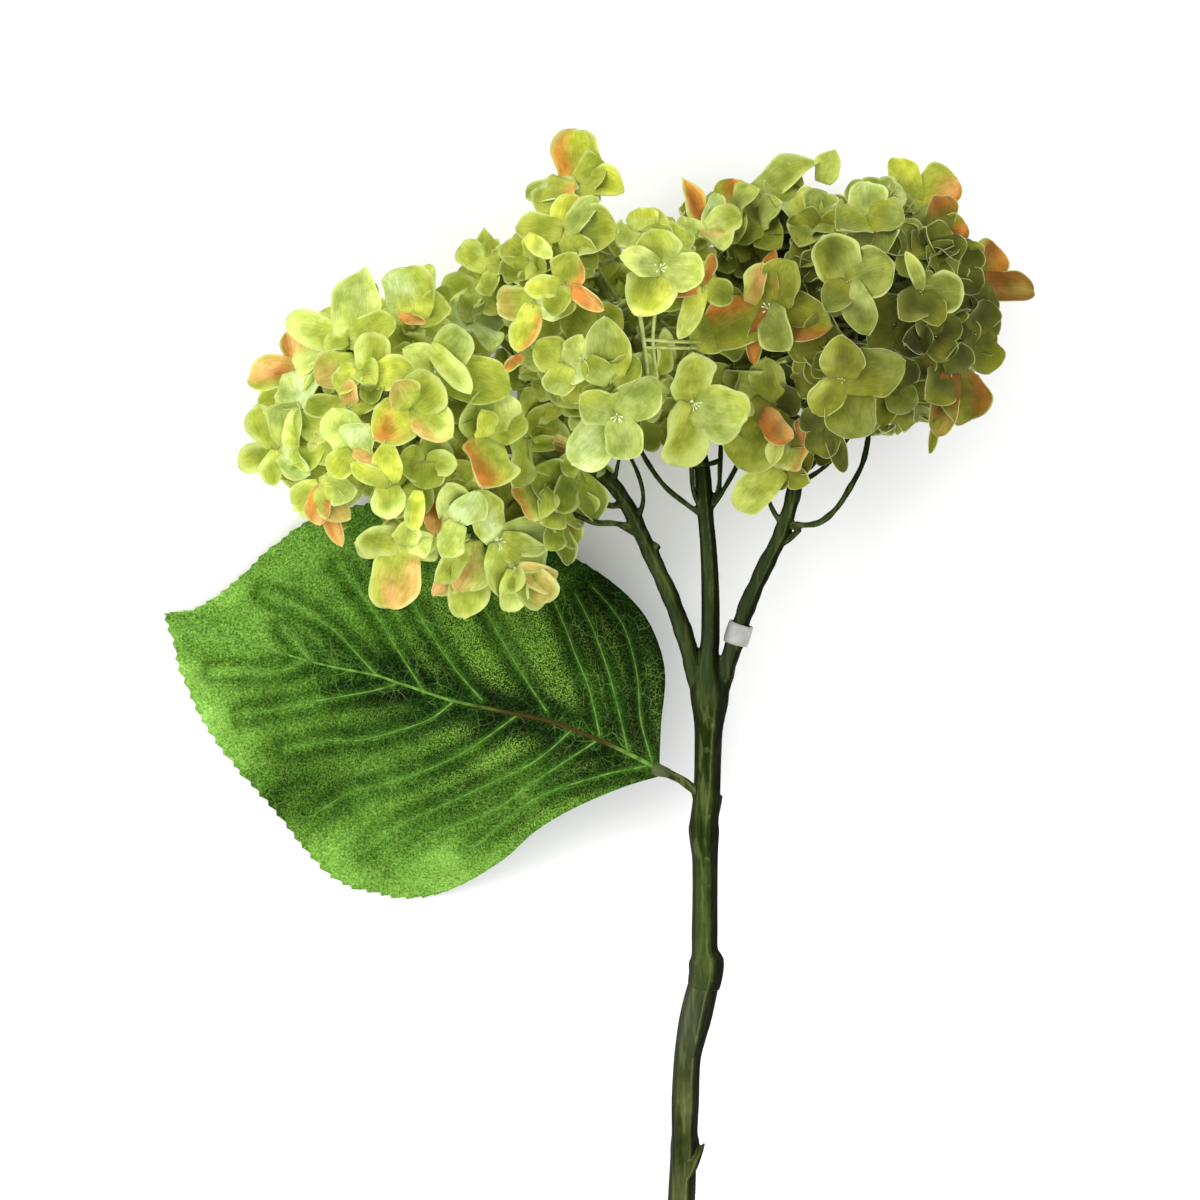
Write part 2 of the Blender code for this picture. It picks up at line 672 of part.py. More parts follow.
# ------------------------------------------------------- origin and real size
low = Vector((1e9, 1e9, 1e9))
high = -low
for obj in made:
    for vert in obj.data.vertices:
        for k in range(3):
            low[k], high[k] = min(low[k], vert.co[k]), max(high[k], vert.co[k])
offset = Vector(((low.x + high.x) / 2, (low.y + high.y) / 2, low.z))
place = Matrix.Scale(MM, 4) @ Matrix.Translation(-offset)
for obj in made:
    obj.data.transform(place)
    obj.data.update()
print("origin at", tuple(round(x, 3) for x in offset), "size",
      tuple(round(x, 1) for x in (high - low)))
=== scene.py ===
import math

import bmesh
import bpy
import numpy as np
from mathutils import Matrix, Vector


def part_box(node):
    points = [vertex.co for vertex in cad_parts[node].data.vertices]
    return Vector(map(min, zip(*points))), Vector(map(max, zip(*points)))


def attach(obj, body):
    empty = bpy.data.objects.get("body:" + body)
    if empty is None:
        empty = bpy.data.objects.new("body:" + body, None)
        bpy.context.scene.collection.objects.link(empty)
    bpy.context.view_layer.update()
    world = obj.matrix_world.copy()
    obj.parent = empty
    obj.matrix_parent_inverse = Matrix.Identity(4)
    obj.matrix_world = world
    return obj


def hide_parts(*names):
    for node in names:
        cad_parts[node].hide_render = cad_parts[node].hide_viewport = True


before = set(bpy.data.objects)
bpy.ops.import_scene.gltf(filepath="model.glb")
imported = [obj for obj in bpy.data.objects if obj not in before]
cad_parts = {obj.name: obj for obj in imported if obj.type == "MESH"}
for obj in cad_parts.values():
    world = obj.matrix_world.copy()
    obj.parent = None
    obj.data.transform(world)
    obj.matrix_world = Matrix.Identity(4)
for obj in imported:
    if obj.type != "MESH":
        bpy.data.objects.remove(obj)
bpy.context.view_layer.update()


# ---------------------------------------------------------------- the frame
# Drawing millimetres (u right, v to the head, w up) to metres in the frame:
# the leaf's box fixes the offset.
LEAF_LO, LEAF_HI = [Vector(c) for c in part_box("leaf")]
OFF = np.array([-150.4 - LEAF_LO.x * 1000.0, 195.0 - LEAF_HI.y * 1000.0,
                0.30 - LEAF_LO.z * 1000.0])
VIEW_U, VIEW_V, VIEW_W, VIEW_D = -28.0, 168.0, 45.0, 1500.0
FRAME_MM = 336.0


def P(u, v, w):
    """A point that shows at (u, v) from the camera, at height w (drawing mm)."""
    f = (VIEW_D - (w - VIEW_W)) / VIEW_D
    return np.array([VIEW_U + (u - VIEW_U) * f, VIEW_V + (v - VIEW_V) * f, w])


def to_world(points):
    return (np.asarray(points, float) - OFF) * 0.001


def lin(c):
    c = np.asarray(c, float)
    return np.where(c <= 0.04045, c / 12.92, ((c + 0.055) / 1.055) ** 2.4)


def smooth(a, b, x):
    t = np.clip((np.asarray(x, float) - a) / (b - a), 0.0, 1.0)
    return t * t * (3 - 2 * t)


def unit(a):
    a = np.asarray(a, float)
    n = np.linalg.norm(a)
    return a / n if n > 1e-9 else a


def spline(points, count):
    """Catmull-Rom through the points, count samples, rows of any width."""
    p = np.asarray(points, float)
    if len(p) == 2:
        t = np.linspace(0, 1, count)[:, None]
        return p[0] * (1 - t) + p[1] * t
    ext = np.vstack([2 * p[0] - p[1], p, 2 * p[-1] - p[-2]])
    seg = np.linalg.norm(np.diff(p[:, :3], axis=0), axis=1)
    cum = np.concatenate([[0], np.cumsum(seg)])
    out = []
    for s in np.linspace(0, cum[-1], count):
        i = min(max(int(np.searchsorted(cum, s, side="right")) - 1, 0), len(p) - 2)
        t = (s - cum[i]) / max(seg[i], 1e-9)
        a, b, c, d = ext[i], ext[i + 1], ext[i + 2], ext[i + 3]
        out.append(0.5 * ((2 * b) + (c - a) * t + (2 * a - 5 * b + 4 * c - d) * t * t
                          + (3 * b - 3 * c + d - a) * t ** 3))
    return np.array(out)


# ------------------------------------------------------------------ materials
def new_material(name, rough=0.6, specular=0.4):
    m = bpy.data.materials.new(name)
    m.use_nodes = True
    nt = m.node_tree
    bsdf = nt.nodes["Principled BSDF"]
    bsdf.inputs["Roughness"].default_value = rough
    bsdf.inputs["Specular IOR Level"].default_value = specular
    return m, nt, bsdf


def node(nt, kind, **values):
    n = nt.nodes.new(kind)
    for key, value in values.items():
        if hasattr(n, key):
            setattr(n, key, value)
        else:
            n.inputs[key].default_value = value
    return n


def noise(nt, coords, scale, detail=3.0, rough=0.55):
    n = nt.nodes.new("ShaderNodeTexNoise")
    n.inputs["Scale"].default_value = scale
    n.inputs["Detail"].default_value = detail
    n.inputs["Roughness"].default_value = rough
    nt.links.new(coords, n.inputs["Vector"])
    return n.outputs["Fac"]


def ramp(nt, value, stops):
    n = nt.nodes.new("ShaderNodeValToRGB")
    e = n.color_ramp.elements
    while len(e) < len(stops):
        e.new(0.5)
    for item, (pos, col) in zip(e, stops):
        item.position = pos
        c = lin(col) if len(col) == 3 else col[:3]
        item.color = (*c, 1.0)
    nt.links.new(value, n.inputs["Fac"])
    return n.outputs["Color"]


def grey_ramp(nt, value, lo, hi, a=0.0, b=1.0):
    n = nt.nodes.new("ShaderNodeMapRange")
    n.interpolation_type = "SMOOTHSTEP"
    n.inputs["From Min"].default_value = lo
    n.inputs["From Max"].default_value = hi
    n.inputs["To Min"].default_value = a
    n.inputs["To Max"].default_value = b
    nt.links.new(value, n.inputs["Value"])
    return n.outputs["Result"]


def mix(nt, fac, a, b, blend="MIX"):
    n = nt.nodes.new("ShaderNodeMix")
    n.data_type = "RGBA"
    n.blend_type = blend
    for sock, value in ((n.inputs["Factor"], fac), (n.inputs["A"], a), (n.inputs["B"], b)):
        pass
    fac_in = n.inputs[0]
    a_in, b_in = n.inputs[6], n.inputs[7]
    for sock, value in ((fac_in, fac), (a_in, a), (b_in, b)):
        if isinstance(value, (int, float)):
            sock.default_value = value
        elif isinstance(value, tuple):
            sock.default_value = (*lin(value), 1.0)
        else:
            nt.links.new(value, sock)
    return n.outputs[2]


def math_node(nt, op, a, b=0.0):
    n = nt.nodes.new("ShaderNodeMath")
    n.operation = op
    for sock, value in zip(n.inputs, (a, b)):
        if isinstance(value, (int, float)):
            sock.default_value = value
        else:
            nt.links.new(value, sock)
    return n.outputs[0]


def attribute(nt, name):
    n = nt.nodes.new("ShaderNodeAttribute")
    n.attribute_name = name
    return n


def bump(nt, height, bsdf, strength, distance, chain=None):
    n = nt.nodes.new("ShaderNodeBump")
    n.inputs["Strength"].default_value = strength
    n.inputs["Distance"].default_value = distance
    nt.links.new(height, n.inputs["Height"])
    if chain is not None:
        nt.links.new(chain, n.inputs["Normal"])
    nt.links.new(n.outputs["Normal"], bsdf.inputs["Normal"])
    return n.outputs["Normal"]


def object_coords(nt, stretch=(1, 1, 1)):
    t = nt.nodes.new("ShaderNodeTexCoord")
    m = nt.nodes.new("ShaderNodeMapping")
    m.inputs["Scale"].default_value = stretch
    nt.links.new(t.outputs["Object"], m.inputs["Vector"])
    return m.outputs["Vector"]


def petal_material():
    m, nt, bsdf = new_material("petal_fabric", 0.70, 0.12)
    tint = attribute(nt, "tint").outputs["Color"]
    edge = attribute(nt, "edge").outputs["Fac"]
    pos = object_coords(nt)
    uv = nt.nodes.new("ShaderNodeUVMap")
    uv.uv_map = "along"
    stretch = nt.nodes.new("ShaderNodeMapping")
    stretch.inputs["Scale"].default_value = (7.0, 1.6, 1.0)
    nt.links.new(uv.outputs["UV"], stretch.inputs["Vector"])
    blotch = noise(nt, pos, 210.0, 3.0)
    streak = noise(nt, stretch.outputs["Vector"], 1.6, 4.0)
    shade = mix(nt, grey_ramp(nt, blotch, 0.32, 0.68), (0.80, 0.83, 0.66), (1.0, 1.0, 1.0))
    base = mix(nt, 1.0, tint, shade, "MULTIPLY")
    streaks = mix(nt, grey_ramp(nt, streak, 0.35, 0.66), (0.88, 0.91, 0.78), (1.0, 1.0, 1.0))
    base = mix(nt, 0.8, base, streaks, "MULTIPLY")
    # the frayed pale rim of each cut sepal, partly its own paler edge and partly a painted highlight on the folded
    # edge
    fray = noise(nt, pos, 900.0, 2.0)
    line = math_node(nt, "ADD", edge, math_node(nt, "MULTIPLY", fray, 0.5))
    rim = grey_ramp(nt, line, 1.95, 0.45, 0.0, 0.46)
    base = mix(nt, rim, base, (0.88, 0.93, 0.60))
    nt.links.new(base, bsdf.inputs["Base Color"])
    bsdf.inputs["Sheen Weight"].default_value = 0.12
    bsdf.inputs["Sheen Roughness"].default_value = 0.5
    bsdf.inputs["Subsurface Weight"].default_value = 0.12
    bsdf.inputs["Subsurface Radius"].default_value = (0.9, 1.0, 0.4)
    bsdf.inputs["Subsurface Scale"].default_value = 0.002
    weave = noise(nt, pos, 3600.0, 1.0)
    first = bump(nt, weave, bsdf, 0.16, 0.0003)
    bump(nt, streak, bsdf, 0.35, 0.0006, first)
    return m


def leaf_material():
    m, nt, bsdf = new_material("leaf_print_and_painted_shade", 0.80, 0.06)
    # the shade attribute is the print's brightness with painted shade laid on it
    shade = attribute(nt, "shade").outputs["Fac"]
    warm = attribute(nt, "warm").outputs["Fac"]
    vein = attribute(nt, "vein").outputs["Fac"]
    pos = object_coords(nt)
    # printed speckle: fine light and dark grains in two sizes
    grain = noise(nt, pos, 1500.0, 2.0, 0.75)
    patch = noise(nt, pos, 130.0, 3.0, 0.6)
    value = math_node(nt, "ADD", shade,
                      math_node(nt, "MULTIPLY", math_node(nt, "SUBTRACT", grain, 0.5), 1.15))
    value = math_node(nt, "ADD", value,
                      math_node(nt, "MULTIPLY", math_node(nt, "SUBTRACT", patch, 0.5), 0.42))
    colour = ramp(nt, value, [(0.02, (0.01, 0.06, 0.0)), (0.25, (0.08, 0.20, 0.01)),
                              (0.50, (0.25, 0.40, 0.10)), (0.72, (0.42, 0.60, 0.23)),
                              (0.92, (0.54, 0.74, 0.32)), (1.0, (0.62, 0.82, 0.40))])
    # bright grains on the swollen strips between the ribs, painted light where their crests catch the lamp
    lit = attribute(nt, "lit").outputs["Fac"]
    speck = noise(nt, pos, 2300.0, 1.0, 0.5)
    speck = math_node(nt, "MULTIPLY", grey_ramp(nt, speck, 0.42, 0.68, 0.0, 0.80), lit)
    colour = mix(nt, speck, colour, (0.52, 0.68, 0.26))
    # net of the smallest veins
    warp = nt.nodes.new("ShaderNodeTexNoise")
    warp.inputs["Scale"].default_value = 160.0
    nt.links.new(pos, warp.inputs["Vector"])
    bent = nt.nodes.new("ShaderNodeMix")
    bent.data_type = "VECTOR"
    bent.inputs[0].default_value = 0.0022
    nt.links.new(pos, bent.inputs[4])
    nt.links.new(warp.outputs["Color"], bent.inputs[5])
    for scale, width, amount in ((170.0, 0.026, 0.34), (340.0, 0.040, 0.22)):
        cells = nt.nodes.new("ShaderNodeTexVoronoi")
        cells.feature = "DISTANCE_TO_EDGE"
        cells.inputs["Scale"].default_value = scale
        nt.links.new(bent.outputs[1], cells.inputs["Vector"])
        thin = grey_ramp(nt, cells.outputs["Distance"], width, 0.0, 0.0, 1.0)
        gate = noise(nt, pos, 70.0, 2.0)
        thin = math_node(nt, "MULTIPLY", thin, grey_ramp(nt, gate, 0.42, 0.60, 0.05, amount))
        colour = mix(nt, thin, colour, (0.48, 0.64, 0.30))
    near = grey_ramp(nt, vein, 1.2, 0.0, 0.0, 0.14)
    colour = mix(nt, near, colour, (0.42, 0.64, 0.26))
    colour = mix(nt, math_node(nt, "MULTIPLY", warm, 0.6), colour, (0.22, 0.15, 0.05))
    nt.links.new(colour, bsdf.inputs["Base Color"])
    weave = noise(nt, pos, 1500.0, 2.0)
    first = bump(nt, weave, bsdf, 0.25, 0.0004)
    bump(nt, patch, bsdf, 0.3, 0.0010, first)
    return m


def vein_material():
    m, nt, bsdf = new_material("leaf_vein", 0.8, 0.06)
    warm = attribute(nt, "warm").outputs["Fac"]
    pos = object_coords(nt)
    n = noise(nt, pos, 420.0, 2.0)
    colour = ramp(nt, n, [(0.3, (0.26, 0.40, 0.13)), (0.7, (0.46, 0.62, 0.28))])
    colour = mix(nt, warm, colour, (0.24, 0.17, 0.07))
    nt.links.new(colour, bsdf.inputs["Base Color"])
    bump(nt, n, bsdf, 0.3, 0.0003)
    return m


def stem_material(name, dark, mid, light):
    m, nt, bsdf = new_material(name, 0.60, 0.03)
    pos = object_coords(nt)
    painted_light = attribute(nt, "painted_light").outputs["Fac"]
    ridge = noise(nt, object_coords(nt, (1.0, 0.022, 1.0)), 620.0, 2.0, 0.5)
    fine = noise(nt, object_coords(nt, (1.0, 0.12, 1.0)), 1500.0, 3.0, 0.6)
    blot = noise(nt, pos, 55.0, 3.0, 0.55)
    value = math_node(nt, "ADD", math_node(nt, "MULTIPLY", fine, 0.25),
                      math_node(nt, "MULTIPLY", blot, 0.75))
    colour = ramp(nt, value, [(0.36, tuple(0.55 * m_ + 0.45 * d for m_, d in zip(mid, dark))),
                              (0.50, mid), (0.66, tuple(0.55 * m_ + 0.45 * l for m_, l in zip(mid, light)))])
    colour = mix(nt, grey_ramp(nt, ridge, 0.54, 0.66, 0.0, 0.30), colour, light)
    colour = mix(nt, grey_ramp(nt, ridge, 0.47, 0.34, 0.0, 0.38), colour, dark)
    # a greyish painted sheen on the side facing the key lamp
    grey = [0.8 * a + 0.2 * b + 0.03 for a, b in zip(mid, light)]
    left_sheen_amount = math_node(nt, "MULTIPLY", attribute(nt, "painted_left_sheen").outputs["Fac"], 0.55)
    colour = mix(nt, left_sheen_amount, colour, (grey[0], grey[1], grey[2] + 0.06))
    # the pale ridge line, with its painted highlight
    thin = math_node(nt, "MULTIPLY", attribute(nt, "line").outputs["Fac"], 0.52)
    colour = mix(nt, thin, colour, light)
    dust = grey_ramp(nt, noise(nt, pos, 330.0, 3.0), 0.62, 0.74, 0.0, 0.30)
    colour = mix(nt, dust, colour, light)
    # painted shade: the dark colour where the stem faces away from the key lamp
    colour = mix(nt, grey_ramp(nt, painted_light, 0.0, 1.0, 0.92, 0.0), colour, tuple(0.45 * c for c in dark))
    nt.links.new(colour, bsdf.inputs["Base Color"])
    nt.links.new(grey_ramp(nt, blot, 0.35, 0.65, 0.45, 0.62), bsdf.inputs["Roughness"])
    first = bump(nt, ridge, bsdf, 0.8, 0.0016)
    bump(nt, fine, bsdf, 0.30, 0.0004, first)
    return m


def plain_material(name, low, high, rough, scale, strength=0.2):
    m, nt, bsdf = new_material(name, rough, 0.4)
    pos = object_coords(nt)
    n = noise(nt, pos, scale, 3.0)
    nt.links.new(ramp(nt, n, [(0.3, low), (0.7, high)]), bsdf.inputs["Base Color"])
    bump(nt, n, bsdf, strength, 0.0004)
    return m


PETAL = petal_material()
LEAF = leaf_material()
VEIN = vein_material()
STEM = stem_material("stem_olive", (0.03, 0.06, 0.0), (0.155, 0.20, 0.055), (0.43, 0.48, 0.26))
STEM_LOW = stem_material("stem_dark", (0.03, 0.05, 0.01), (0.235, 0.26, 0.12), (0.48, 0.51, 0.33))
TWIG = stem_material("twig_dark", (0.10, 0.13, 0.05), (0.21, 0.26, 0.11), (0.38, 0.44, 0.24))
PEDICEL = plain_material("pedicel_plastic", (0.56, 0.61, 0.29), (0.76, 0.80, 0.49), 0.45, 300.0)
SLEEVE = plain_material("leaf_sleeve_olive", (0.17, 0.21, 0.08), (0.30, 0.35, 0.16), 0.65, 240.0)
CORE = plain_material("core_green", (0.34, 0.40, 0.15), (0.52, 0.58, 0.26), 0.5, 200.0)
STAMEN = plain_material("stamen_pale", (0.86, 0.92, 0.66), (0.97, 1.0, 0.86), 0.5, 900.0)
ANTHER = plain_material("stamen_green", (0.62, 0.68, 0.34), (0.78, 0.84, 0.52), 0.5, 900.0)
BAND = plain_material("band_grey", (0.46, 0.46, 0.45), (0.66, 0.66, 0.64), 0.45, 150.0)


# --------------------------------------------------------------- mesh builder
class Mesh:
    """Vertices in drawing mm with a tint, an edge distance and a UV."""

    def __init__(self):
        self.v, self.f, self.mat = [], [], []
        self.tint, self.edge, self.uv = [], [], []
        self.extra = {}

    def add(self, verts, faces, mat, tint=None, edge=None, uv=None):
        start = sum(len(a) for a in self.v)
        n = len(verts)
        self.v.append(np.asarray(verts, float))
        self.f += [tuple(start + i for i in face) for face in faces]
        self.mat += [mat] * len(faces)
        self.tint.append(np.ones((n, 3)) * 0.5 if tint is None else tint)
        self.edge.append(np.full(n, 9.0) if edge is None else edge)
        self.uv.append(np.zeros((n, 2)) if uv is None else uv)

    def make(self, name, materials, recalc=False):
        verts = to_world(np.vstack(self.v))
        me = bpy.data.meshes.new(name)
        me.from_pydata([tuple(p) for p in verts], [], self.f)
        for m in materials:
            me.materials.append(m)
        me.polygons.foreach_set("material_index", np.array(self.mat, dtype=np.int32))
        me.polygons.foreach_set("use_smooth", np.ones(len(self.f), dtype=bool))
        tint = np.ones((len(verts), 4))
        tint[:, :3] = np.vstack(self.tint)
        layer = me.color_attributes.new("tint", "FLOAT_COLOR", "POINT")
        layer.data.foreach_set("color", tint.ravel())
        layer = me.attributes.new("edge", "FLOAT", "POINT")
        layer.data.foreach_set("value", np.concatenate(self.edge))
        uvs = np.vstack(self.uv)
        loops = np.empty(len(me.loops), dtype=np.int32)
        me.loops.foreach_get("vertex_index", loops)
        layer = me.uv_layers.new(name="along")
        layer.data.foreach_set("uv", uvs[loops].ravel())
        for key, values in self.extra.items():
            layer = me.attributes.new(key, "FLOAT", "POINT")
            layer.data.foreach_set("value", values)
        me.update()
        obj = bpy.data.objects.new(name, me)
        bpy.context.collection.objects.link(obj)
        return obj


def frames_along(path):
    """Tangent, side and up at each point of a path, turning as little as it can."""
    path = np.asarray(path, float)
    t = np.gradient(path, axis=0)
    t /= np.linalg.norm(t, axis=1)[:, None]
    up = np.array([0.0, 0.0, 1.0])
    if abs(t[0] @ up) > 0.9:
        up = np.array([0.0, 1.0, 0.0])
    sides, ups = [], []
    for k in range(len(path)):
        up = unit(up - t[k] * (up @ t[k]))
        side = np.cross(t[k], up)
        sides.append(side)
        ups.append(up)
    return t, np.array(sides), np.array(ups)


def tube_arrays(path, radii, sides=8, ridge=0.0, count=5, phase=0.0, flat=1.0):
    """A closed tube; ridge is the depth of the lengthwise ribs as a share."""
    path = np.asarray(path, float)
    t, side, up = frames_along(path)
    ang = np.arange(sides) * 2 * math.pi / sides
    verts = []
    for k in range(len(path)):
        r = radii[k] * (1 + ridge * np.sin(count * ang + phase + 0.35 * math.sin(k * 0.13)))
        verts.append(path[k] + side[k] * (np.cos(ang) * r)[:, None]
                     + up[k] * (np.sin(ang) * r * flat)[:, None])
    verts = np.vstack(verts)
    n = len(path)
    faces = []
    for k in range(n - 1):
        for j in range(sides):
            i = (j + 1) % sides
            faces.append((k * sides + j, k * sides + i, (k + 1) * sides + i, (k + 1) * sides + j))
    a, b = len(verts), len(verts) + 1
    verts = np.vstack([verts, path[0] - t[0] * radii[0] * 0.25, path[-1] + t[-1] * radii[-1] * 0.25])
    for j in range(sides):
        i = (j + 1) % sides
        faces.append((a, i, j))
        faces.append((b, (n - 1) * sides + j, (n - 1) * sides + i))
    return verts, faces


def solid_from(meshes, name, materials, voxel):
    """Tubes melted into one skin."""
    verts, faces = [], []
    for v, f in meshes:
        start = sum(len(a) for a in verts)
        verts.append(v)
        faces += [tuple(start + i for i in face) for face in f]
    me = bpy.data.meshes.new(name + "_raw")
    me.from_pydata([tuple(p) for p in to_world(np.vstack(verts))], [], faces)
    me.update()
    bm = bmesh.new()
    bm.from_mesh(me)
    bmesh.ops.recalc_face_normals(bm, faces=bm.faces)
    bm.to_mesh(me)
    bm.free()
    raw = bpy.data.objects.new(name + "_raw", me)
    bpy.context.collection.objects.link(raw)
    mod = raw.modifiers.new("melt", "REMESH")
    mod.mode = "VOXEL"
    mod.voxel_size = voxel * 0.001
    soft = raw.modifiers.new("soft", "SMOOTH")
    soft.factor = 0.5
    soft.iterations = 5
    graph = bpy.context.evaluated_depsgraph_get()
    done = bpy.data.meshes.new_from_object(raw.evaluated_get(graph))
    done.name = name
    done.materials.clear()
    for m in materials:
        done.materials.append(m)
    done.polygons.foreach_set("use_smooth", np.ones(len(done.polygons), dtype=bool))
    bpy.data.objects.remove(raw)
    bpy.data.meshes.remove(me)
    obj = bpy.data.objects.new(name, done)
    bpy.context.collection.objects.link(obj)
    # painted light and shade on the stems: lit on top, painted shade on the side facing right and on the steep left
    # edge
    nv = np.empty(len(done.vertices) * 3)
    done.vertices.foreach_get("normal", nv)
    nv = nv.reshape(-1, 3)
    painted_light = 1.0 - 0.95 * smooth(-0.12, 0.62, 0.88 * nv[:, 0] - 0.12 * nv[:, 1] - 0.30 * nv[:, 2])
    painted_light *= 1.0 - 0.65 * smooth(0.60, 0.98, -nv[:, 0])
    # the painted shade lifts on the sides and underside, back near the plain olive
    painted_light += (np.maximum(painted_light, 0.72) - painted_light) * smooth(0.30, 0.02, nv[:, 2])
    co = np.empty(len(done.vertices) * 3)
    done.vertices.foreach_get("co", co)
    up_v = co.reshape(-1, 3)[:, 1] * 1000.0 + OFF[1]
    # the painted shade grows darker towards the head
    painted_light *= 1.0 - 0.40 * smooth(136.0, 168.0, up_v)
    # a pale line painted where the normal faces up: the stem's pale ridge with a painted highlight on it
    centre = 0.08 + 0.20 * np.sin(up_v * 0.045 + 0.6)
    line = np.exp(-((nv[:, 0] - centre) / 0.085) ** 2) * (nv[:, 2] > 0)
    line *= 0.25 + 0.75 * smooth(-0.4, 0.5, np.sin(up_v * 0.10 + 2.0))
    # a painted sheen, greyish, in bands on the side facing the key lamp
    painted_left_sheen = smooth(0.05, -0.55, nv[:, 0] - centre) * smooth(-0.6, 0.6, np.sin(up_v * 0.06 + 4.0))
    for key, values in (("painted_light", painted_light), ("line", line), ("painted_left_sheen", painted_left_sheen)):
        layer = done.attributes.new(key, "FLOAT", "POINT")
        layer.data.foreach_set("value", values.astype(np.float32))
    return obj


# ----------------------------------------------------------------- the florets
SHELLS = {
    "left": (np.array([-87.0, 214.0, 52.0]), (33.0, 39.0, 41.0)),
    "centre": (np.array([-24.0, 249.0, 54.0]), (32.0, 37.0, 41.0)),
    "right": (np.array([49.0, 247.0, 53.0]), (32.0, 35.0, 41.0)),
}
RAILS = {
    "left": [(-27.5, 203, 48.6), (-30, 205, 49), (-44, 209, 51), (-60, 211, 52), (-76, 213, 52),
             (-92, 214, 52), (-104, 216, 52)],
    "centre": [(-0.6, 207, 47.4), (-1.6, 214, 49), (-6, 224, 52), (-14, 234, 53), (-22, 245, 54),
               (-28, 257, 54), (-32, 268, 54)],
    "right": [(28.2, 207.5, 48.8), (29, 211, 49), (35, 221, 51), (42, 231, 52), (49, 242, 53),
              (55, 254, 53), (57, 265, 53)],
}

# Colours of the sepals, their own colours with painted light and shade in them: the mint ones painted lit, the olive
# and dark ones painted shaded.
INK_AND_PAINTED_LIGHT = {
    "l": (0.74, 0.80, 0.37), "b": (0.86, 0.90, 0.38), "o": (0.64, 0.68, 0.26),
    "d": (0.46, 0.50, 0.18), "m": (0.87, 0.96, 0.75), "g": (0.68, 0.75, 0.45),
    "p": (0.87, 0.94, 0.58), "O": (0.90, 0.58, 0.29), "P": (0.95, 0.75, 0.53),
    "r": (0.68, 0.43, 0.20), "t": (0.80, 0.72, 0.44), "k": (0.36, 0.39, 0.13),
}

# lighter, painted-sunlit copies of the olive and dark colours for the lit left and centre clusters
PAINTED_SUNLIT_INK = dict(INK_AND_PAINTED_LIGHT, d=(0.54, 0.60, 0.22), k=(0.44, 0.50, 0.17), o=(0.67, 0.72, 0.30))
